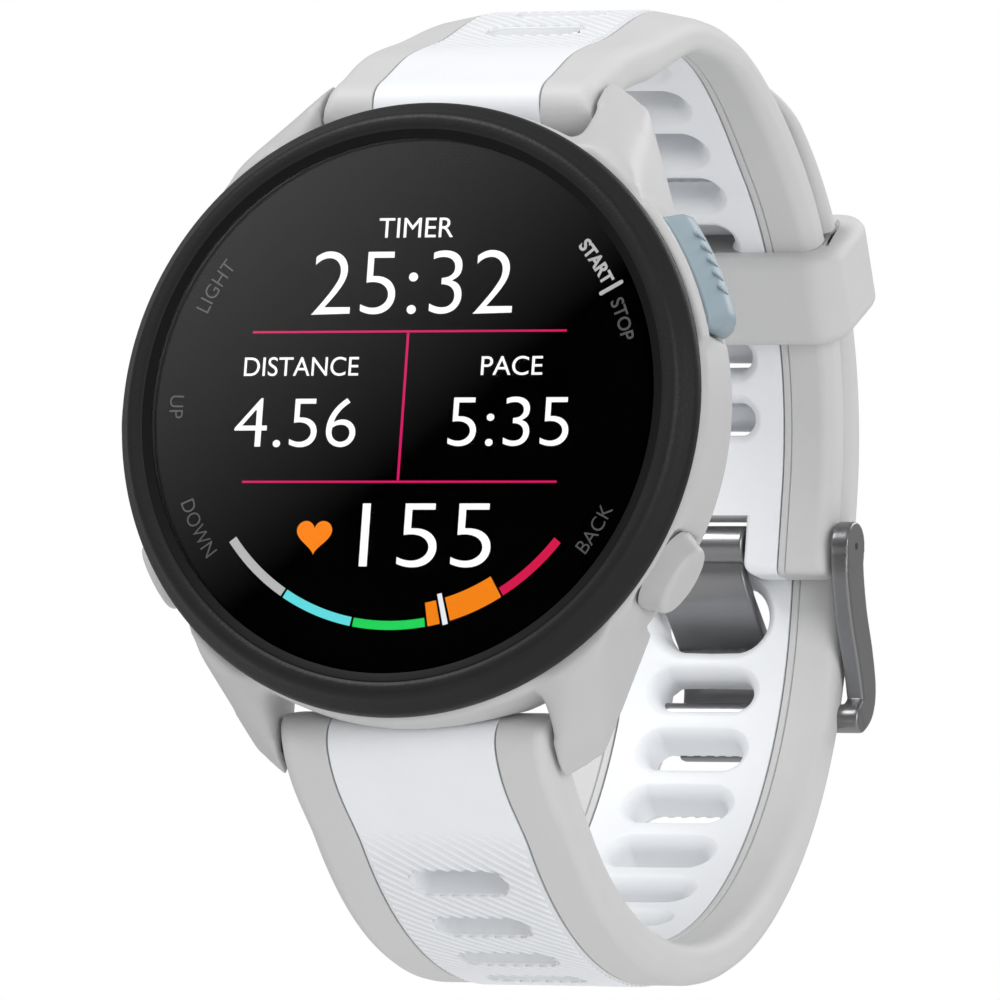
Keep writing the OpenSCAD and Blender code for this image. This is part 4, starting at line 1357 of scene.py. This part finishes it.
class WATCH_OT_keeper(bpy.types.Operator):
    """Build the soft loop that holds the tail"""
    bl_idname = "watch.keeper"
    bl_label = "Keeper"

    def execute(self, context):
        sizes, _ = settings(context)
        low, high, across = SHORT_IN_R - 0.6, LONG_IN_R + STRAP_T + 0.15, HALF_W + 0.5
        wall = 1.25
        big = sizes.keeper_round / MM
        bm = bmesh.new()
        places = []
        turn = Matrix.Translation((0, ARC_Y, UPPER_Z)) @ Matrix.Rotation(math.radians(KEEPER_ANGLE), 4, "X")
        for k in (-0.5, 0.5):
            places.append(turn @ Matrix.Translation((0, 0, KEEPER_W * k)))
        rings = []
        for grow, corner in ((wall, big), (0.0, big - wall + 0.3)):
            outline = section_points([
                (-across - grow, low - grow, corner), (across + grow, low - grow, corner),
                (across + grow, high + grow, corner), (-across - grow, high + grow, corner)], 6)
            before = set(bm.edges)
            sweep(bm, outline, places, closed=True)
            made = [e for e in bm.edges if e not in before and len(e.link_faces) == 1]
            rings.append(made)
        for place in (places[0], places[-1]):
            back = place.inverted()
            edges = [e for ring in rings for e in ring if all(abs((back @ v.co).z) < 1e-4 for v in e.verts)]
            bmesh.ops.bridge_loops(bm, edges=edges)
        bmesh.ops.recalc_face_normals(bm, faces=bm.faces)
        for ring, offset in zip(rings, (1.05, 0.35)):
            bmesh.ops.bevel(bm, geom=ring, offset=offset, offset_type="OFFSET", affect="EDGES",
                            segments=5, profile=0.5, material=-1)
        tidy_shell(bm, 0.001)
        piece("keeper_loop", bm, "silicone_grey", "keeper", ["keeper"], 50)
        return {"FINISHED"}


# ---- Buckle ----

ARM_X = 10.98


class WATCH_OT_buckle(bpy.types.Operator):
    """Build the buckle's frame, bar and tongue"""
    bl_idname = "watch.buckle"
    bl_label = "Buckle"

    def execute(self, context):
        self.frame_piece()
        self.tongue()
        bm = rod(0.42, 23.1)
        soften(bm, 0.08, 2, 60)
        bmesh.ops.translate(bm, verts=bm.verts, vec=PIVOT)
        piece("buckle_pin", bm, "buckle_steel", "watch", ["buckle_bar"])
        return {"FINISHED"}

    def frame_piece(self):
        """Two tapered curved arms, joined by the far bar."""
        skin = bmesh.new()
        path = self.arm_path()
        for side in (-1, 1):
            places = []
            for k, (point, width) in enumerate(path):
                ahead = path[min(k + 1, len(path) - 1)][0] - path[max(k - 1, 0)][0]
                ahead.normalize()
                across = ahead.cross(Vector((1, 0, 0)))
                place = Matrix((Vector((1, 0, 0)), across, ahead)).transposed().to_4x4()
                place.translation = point + Vector((side * ARM_X, 0, 0))
                places.append(place @ Matrix.Diagonal((1.0, width, 1.0, 1.0)))
            outline = [Vector((x, r, 0)) for x, r in (
                (-0.66, -0.5), (0.66, -0.5), (0.66, 0.5), (-0.66, 0.5))]
            sweep(skin, outline, places)
            boss = rod(1.78, 1.36)
            bmesh.ops.translate(boss, verts=boss.verts, vec=PIVOT + Vector((side * ARM_X, 0, 0)))
            join(skin, boss)
        cross = rod(1.05, 23.2)
        bmesh.ops.translate(cross, verts=cross.verts, vec=path[-1][0])
        join(skin, cross)
        bmesh.ops.recalc_face_normals(skin, faces=skin.faces)
        bm = remeshed(skin, 0.11, 5)
        piece("buckle_loop", bm, "buckle_steel", "buckle_frame", ["buckle_frame"], 60)
        # Near-black discs at the pin's ends are painted shade standing for the holes in the bosses.
        bm = rod(0.26, 23.34, 24)
        bmesh.ops.translate(bm, verts=bm.verts, vec=PIVOT)
        piece("pin_socket_shade", bm, "socket_hole_shade", "buckle_frame")

    def arm_path(self):
        """Points and widths down an arm, on a smooth curve through a few knots."""
        knots = [((0.0, 0.0), 3.4), ((0.4, -2.0), 3.4), ((1.7, -4.8), 3.2), ((3.4, -7.4), 3.1),
                 ((4.5, -9.5), 2.9), ((4.6, -10.9), 2.5), ((3.6, -12.0), 2.1)]
        path = []
        for k in range(len(knots) - 1):
            ends = [knots[max(k - 1, 0)], knots[k], knots[k + 1], knots[min(k + 2, len(knots) - 1)]]
            a, b, c, d = (Vector((0, *spot)) for spot, _ in ends)
            for step in range(6):
                t = step / 6
                spot = (b * 2 + (c - a) * t + (a * 2 - b * 5 + c * 4 - d) * t ** 2
                        + (b * 3 - a - c * 3 + d) * t ** 3) / 2
                path.append((PIVOT + spot, ends[1][1] + (ends[2][1] - ends[1][1]) * t))
        path.append((PIVOT + Vector((0, *knots[-1][0])), knots[-1][1]))
        return path

    def tongue(self):
        """The tongue turns out through the slot and is wider below the strap's end."""
        bm = bmesh.new()
        half_t = 0.55
        path = self.tongue_path()
        places = []
        for point, direction, width in path:
            out = Vector((1, 0, 0)).cross(direction)
            side = Vector((1, 0, 0))
            place = Matrix((side * width, out, direction)).transposed().to_4x4()
            place.translation = point
            places.append(place)
        outline = section_points([
            (-1.0, -half_t, 0.0), (1.0, -half_t, 0.0), (1.0, half_t, 0.0), (-1.0, half_t, 0.0)])
        sweep(bm, outline, places)
        bmesh.ops.recalc_face_normals(bm, faces=bm.faces)
        soften(bm, 0.28, 3, 40)
        barrel = rod(1.45, 6.7, 48)
        soften(barrel, 0.25, 3, 60)
        bmesh.ops.translate(barrel, verts=barrel.verts, vec=PIVOT)
        join(bm, barrel)
        piece("buckle_prong", bm, "buckle_steel", "buckle_tongue", ["buckle_tongue"], 50)

    def tongue_path(self):
        """Points, directions and half widths down the tongue."""
        turn = 55
        start = Vector((0, PIVOT.y + 0.05, -0.2))
        path = [(start, 270.0)]
        point = Vector((0, start.y, -1.0))
        centre = point + Vector((0, 3.0, 0))
        for k in range(9):
            a = math.radians(180 + turn * k / 8)
            path.append((centre + Vector((0, math.cos(a), math.sin(a))) * 3.0, 270 + turn * k / 8))
        last = path[-1][0]
        heading = math.radians(270 + turn)
        step = Vector((0, math.cos(heading), math.sin(heading)))
        path += [(last + step * 4.1 * k / 4, 270 + turn) for k in range(1, 5)]
        centre = path[-1][0] - Vector((0, math.cos(math.radians(turn)), math.sin(math.radians(turn)))) * 5.0
        for k in range(1, 9):
            a = math.radians(turn * (1 - k / 8))
            path.append((centre + Vector((0, math.cos(a), math.sin(a))) * 5.0, 270 + turn * (1 - k / 8)))
        last = path[-1][0]
        path += [(last + Vector((0, 0, -4.4 * k / 3)), 270) for k in (1, 2, 3)]
        result = []
        for point, angle in path:
            a = math.radians(angle)
            flare = ease((-1.2 - point.z) / 1.9)
            result.append((point, Vector((0, math.cos(a), math.sin(a))), 3.2 + 0.32 * flare))
        return result


# ---- The back ----

class WATCH_OT_back(bpy.types.Operator):
    """Build the sensor window"""
    bl_idname = "watch.back"
    bl_label = "Sensor window"

    def execute(self, context):
        rise = WINDOW_HIGH.y
        bm = spun([(0, WINDOW_LOW.y, 0), (7.6, WINDOW_LOW.y, 0.1), (7.6, rise - 0.2, 0.12),
                   (6.6, rise, 0.8), (0, rise, 0)])
        piece("sensor_glass", bm, "sensor_glass", "watch", ["sensor_window"])
        return {"FINISHED"}


# ---- Stage ----

VIEW_SIDE = Vector((0.9238, 0.3769, 0.0680))
VIEW_BACK = Vector((0.3830, -0.9091, -0.1640))
VIEW_AIM = Vector((5.57, -4.14, -5.61))
VIEW_RANGE = 800.0
FOCAL = 423.0


def aimed(location, target):
    """A place whose -Z looks at the target."""
    look = (Vector(target) - Vector(location)).normalized()
    place = look.to_track_quat("-Z", "Y").to_matrix().to_4x4()
    place.translation = Vector(location) * MM
    return place


def soft_light(name, location, size, power):
    """A round lamp aimed at the watch's middle; its place and size are in millimetres."""
    lamp = bpy.data.lights.new(name, "AREA")
    lamp.shape = "DISK"
    lamp.size = size * MM
    lamp.energy = power
    holder = bpy.data.objects.new(name, lamp)
    bpy.context.scene.collection.objects.link(holder)
    holder.matrix_world = aimed(location, (0, 10, 0))


class WATCH_OT_stage(bpy.types.Operator):
    """Set the camera, the soft lights, the pale floor and the card that the glass mirrors"""
    bl_idname = "watch.stage"
    bl_label = "Stage"

    def execute(self, context):
        scene = context.scene
        self.camera(scene)
        self.surroundings(scene)
        self.floor()
        self.mirror_card()
        soft_light("key_light", (-300, -520, 620), 420, 4.6)
        soft_light("fill_light", (620, -420, 120), 500, 2.2)
        soft_light("rim_light", (300, 500, 420), 400, 1.6)
        return {"FINISHED"}

    def camera(self, scene):
        data = bpy.data.cameras.new("main_camera")
        data.lens = FOCAL
        data.sensor_width = 36.0
        data.clip_start = 0.01
        holder = bpy.data.objects.new("main_camera", data)
        scene.collection.objects.link(holder)
        side = VIEW_SIDE.normalized()
        back = (VIEW_BACK - side * VIEW_BACK.dot(side)).normalized()
        up = back.cross(side)
        place = Matrix((side, up, back)).transposed().to_4x4()
        place.translation = (VIEW_AIM + back * VIEW_RANGE) * MM
        holder.matrix_world = place
        scene.camera = holder

    def surroundings(self, scene):
        """White where it is seen, and a little dimmer where it lights the watch."""
        world = bpy.data.worlds.new("studio")
        scene.world = world
        world.use_nodes = True
        tree = world.node_tree
        tree.nodes.clear()
        out = tree.nodes.new("ShaderNodeOutputWorld")
        seen = tree.nodes.new("ShaderNodeBackground")
        seen.inputs["Color"].default_value = (1, 1, 1, 1)
        seen.inputs["Strength"].default_value = 1.0
        lighting = tree.nodes.new("ShaderNodeBackground")
        lighting.inputs["Color"].default_value = (1, 1, 1, 1)
        lighting.inputs["Strength"].default_value = 0.46
        which = tree.nodes.new("ShaderNodeLightPath")
        mixer = tree.nodes.new("ShaderNodeMixShader")
        tree.links.new(which.outputs["Is Camera Ray"], mixer.inputs[0])
        tree.links.new(lighting.outputs[0], mixer.inputs[1])
        tree.links.new(seen.outputs[0], mixer.inputs[2])
        tree.links.new(mixer.outputs[0], out.inputs[0])
        scene.view_settings.view_transform = "Standard"

    def floor(self):
        bm = bmesh.new()
        bmesh.ops.create_circle(bm, cap_ends=True, radius=2.5, segments=96)
        bmesh.ops.translate(bm, verts=bm.verts, vec=(0, 0, -0.18))
        mesh = bpy.data.meshes.new("floor")
        bm.to_mesh(mesh)
        bm.free()
        made = bpy.data.objects.new("floor", mesh)
        bpy.context.scene.collection.objects.link(made)
        finish = moulded("pale_floor", (0.86, 0.86, 0.86), 0.8, 0.01, 0.01, 0.01)
        mesh.materials.append(finish.material)

    def mirror_card(self):
        """A graded card that only shows as a reflection in the glass."""
        direction = Vector((-VIEW_BACK.x, VIEW_BACK.y, -VIEW_BACK.z)).normalized()
        centre = Vector((0, LENS_FACE, 0)) + direction * 250.0
        bm = bmesh.new()
        bmesh.ops.create_grid(bm, x_segments=1, y_segments=1, size=70.0)
        place = aimed(centre, (0, LENS_FACE, 0))
        place.translation = centre
        bmesh.ops.transform(bm, matrix=Matrix.Scale(MM, 4) @ place, verts=bm.verts)
        mesh = bpy.data.meshes.new("mirror_card")
        bm.to_mesh(mesh)
        bm.free()
        made = bpy.data.objects.new("mirror_card", mesh)
        bpy.context.scene.collection.objects.link(made)
        finish = Finish("card_glow", (0, 0, 0), 1.0, Emission_Strength=1.0, Specular_IOR_Level=0.0)
        x, _, z = finish.axes(finish.place())
        slope = (x - centre.x) * -0.0159 + (z - centre.z) * 0.0161 + 0.025
        glow = slope.above(0.5, 1.0)
        finish.set("Emission Color", finish.tint(glow, (0.0, 0.0, 0.0), (1.3, 1.3, 1.3)))
        mesh.materials.append(finish.material)
        made.visible_camera = False
        made.visible_diffuse = False
        made.visible_shadow = False
        made.visible_volume_scatter = False


# ---- Panel and registering ----

STEPS = (
    WATCH_OT_finishes, WATCH_OT_stage, WATCH_OT_case, WATCH_OT_bezel, WATCH_OT_glass,
    WATCH_OT_figures, WATCH_OT_labels, WATCH_OT_start_button, WATCH_OT_oval_buttons,
    WATCH_OT_long_half, WATCH_OT_short_half, WATCH_OT_keeper, WATCH_OT_buckle, WATCH_OT_back)


class WATCH_PT_panel(bpy.types.Panel):
    """Lists the watch's sizes, colours and pieces"""
    bl_idname = "WATCH_PT_panel"
    bl_label = "Running watch"
    bl_space_type = "VIEW_3D"
    bl_region_type = "UI"
    bl_category = "Watch"

    def draw(self, context):
        for group in settings(context):
            for key in group.__annotations__:
                self.layout.prop(group, key)
        for step in STEPS:
            self.layout.operator(step.bl_idname)


CLASSES = (WatchSizes, WatchColours, *STEPS, WATCH_PT_panel)


def register():
    for cls in CLASSES:
        bpy.utils.register_class(cls)
    bpy.types.Scene.watch_sizes = bpy.props.PointerProperty(type=WatchSizes)
    bpy.types.Scene.watch_colours = bpy.props.PointerProperty(type=WatchColours)


def unregister():
    del bpy.types.Scene.watch_colours
    del bpy.types.Scene.watch_sizes
    for cls in reversed(CLASSES):
        bpy.utils.unregister_class(cls)


def main():
    """Builds every piece in order."""
    register()
    for step in STEPS:
        group, name = step.bl_idname.split(".")
        getattr(getattr(bpy.ops, group), name)()


if __name__ == "__main__":
    main()
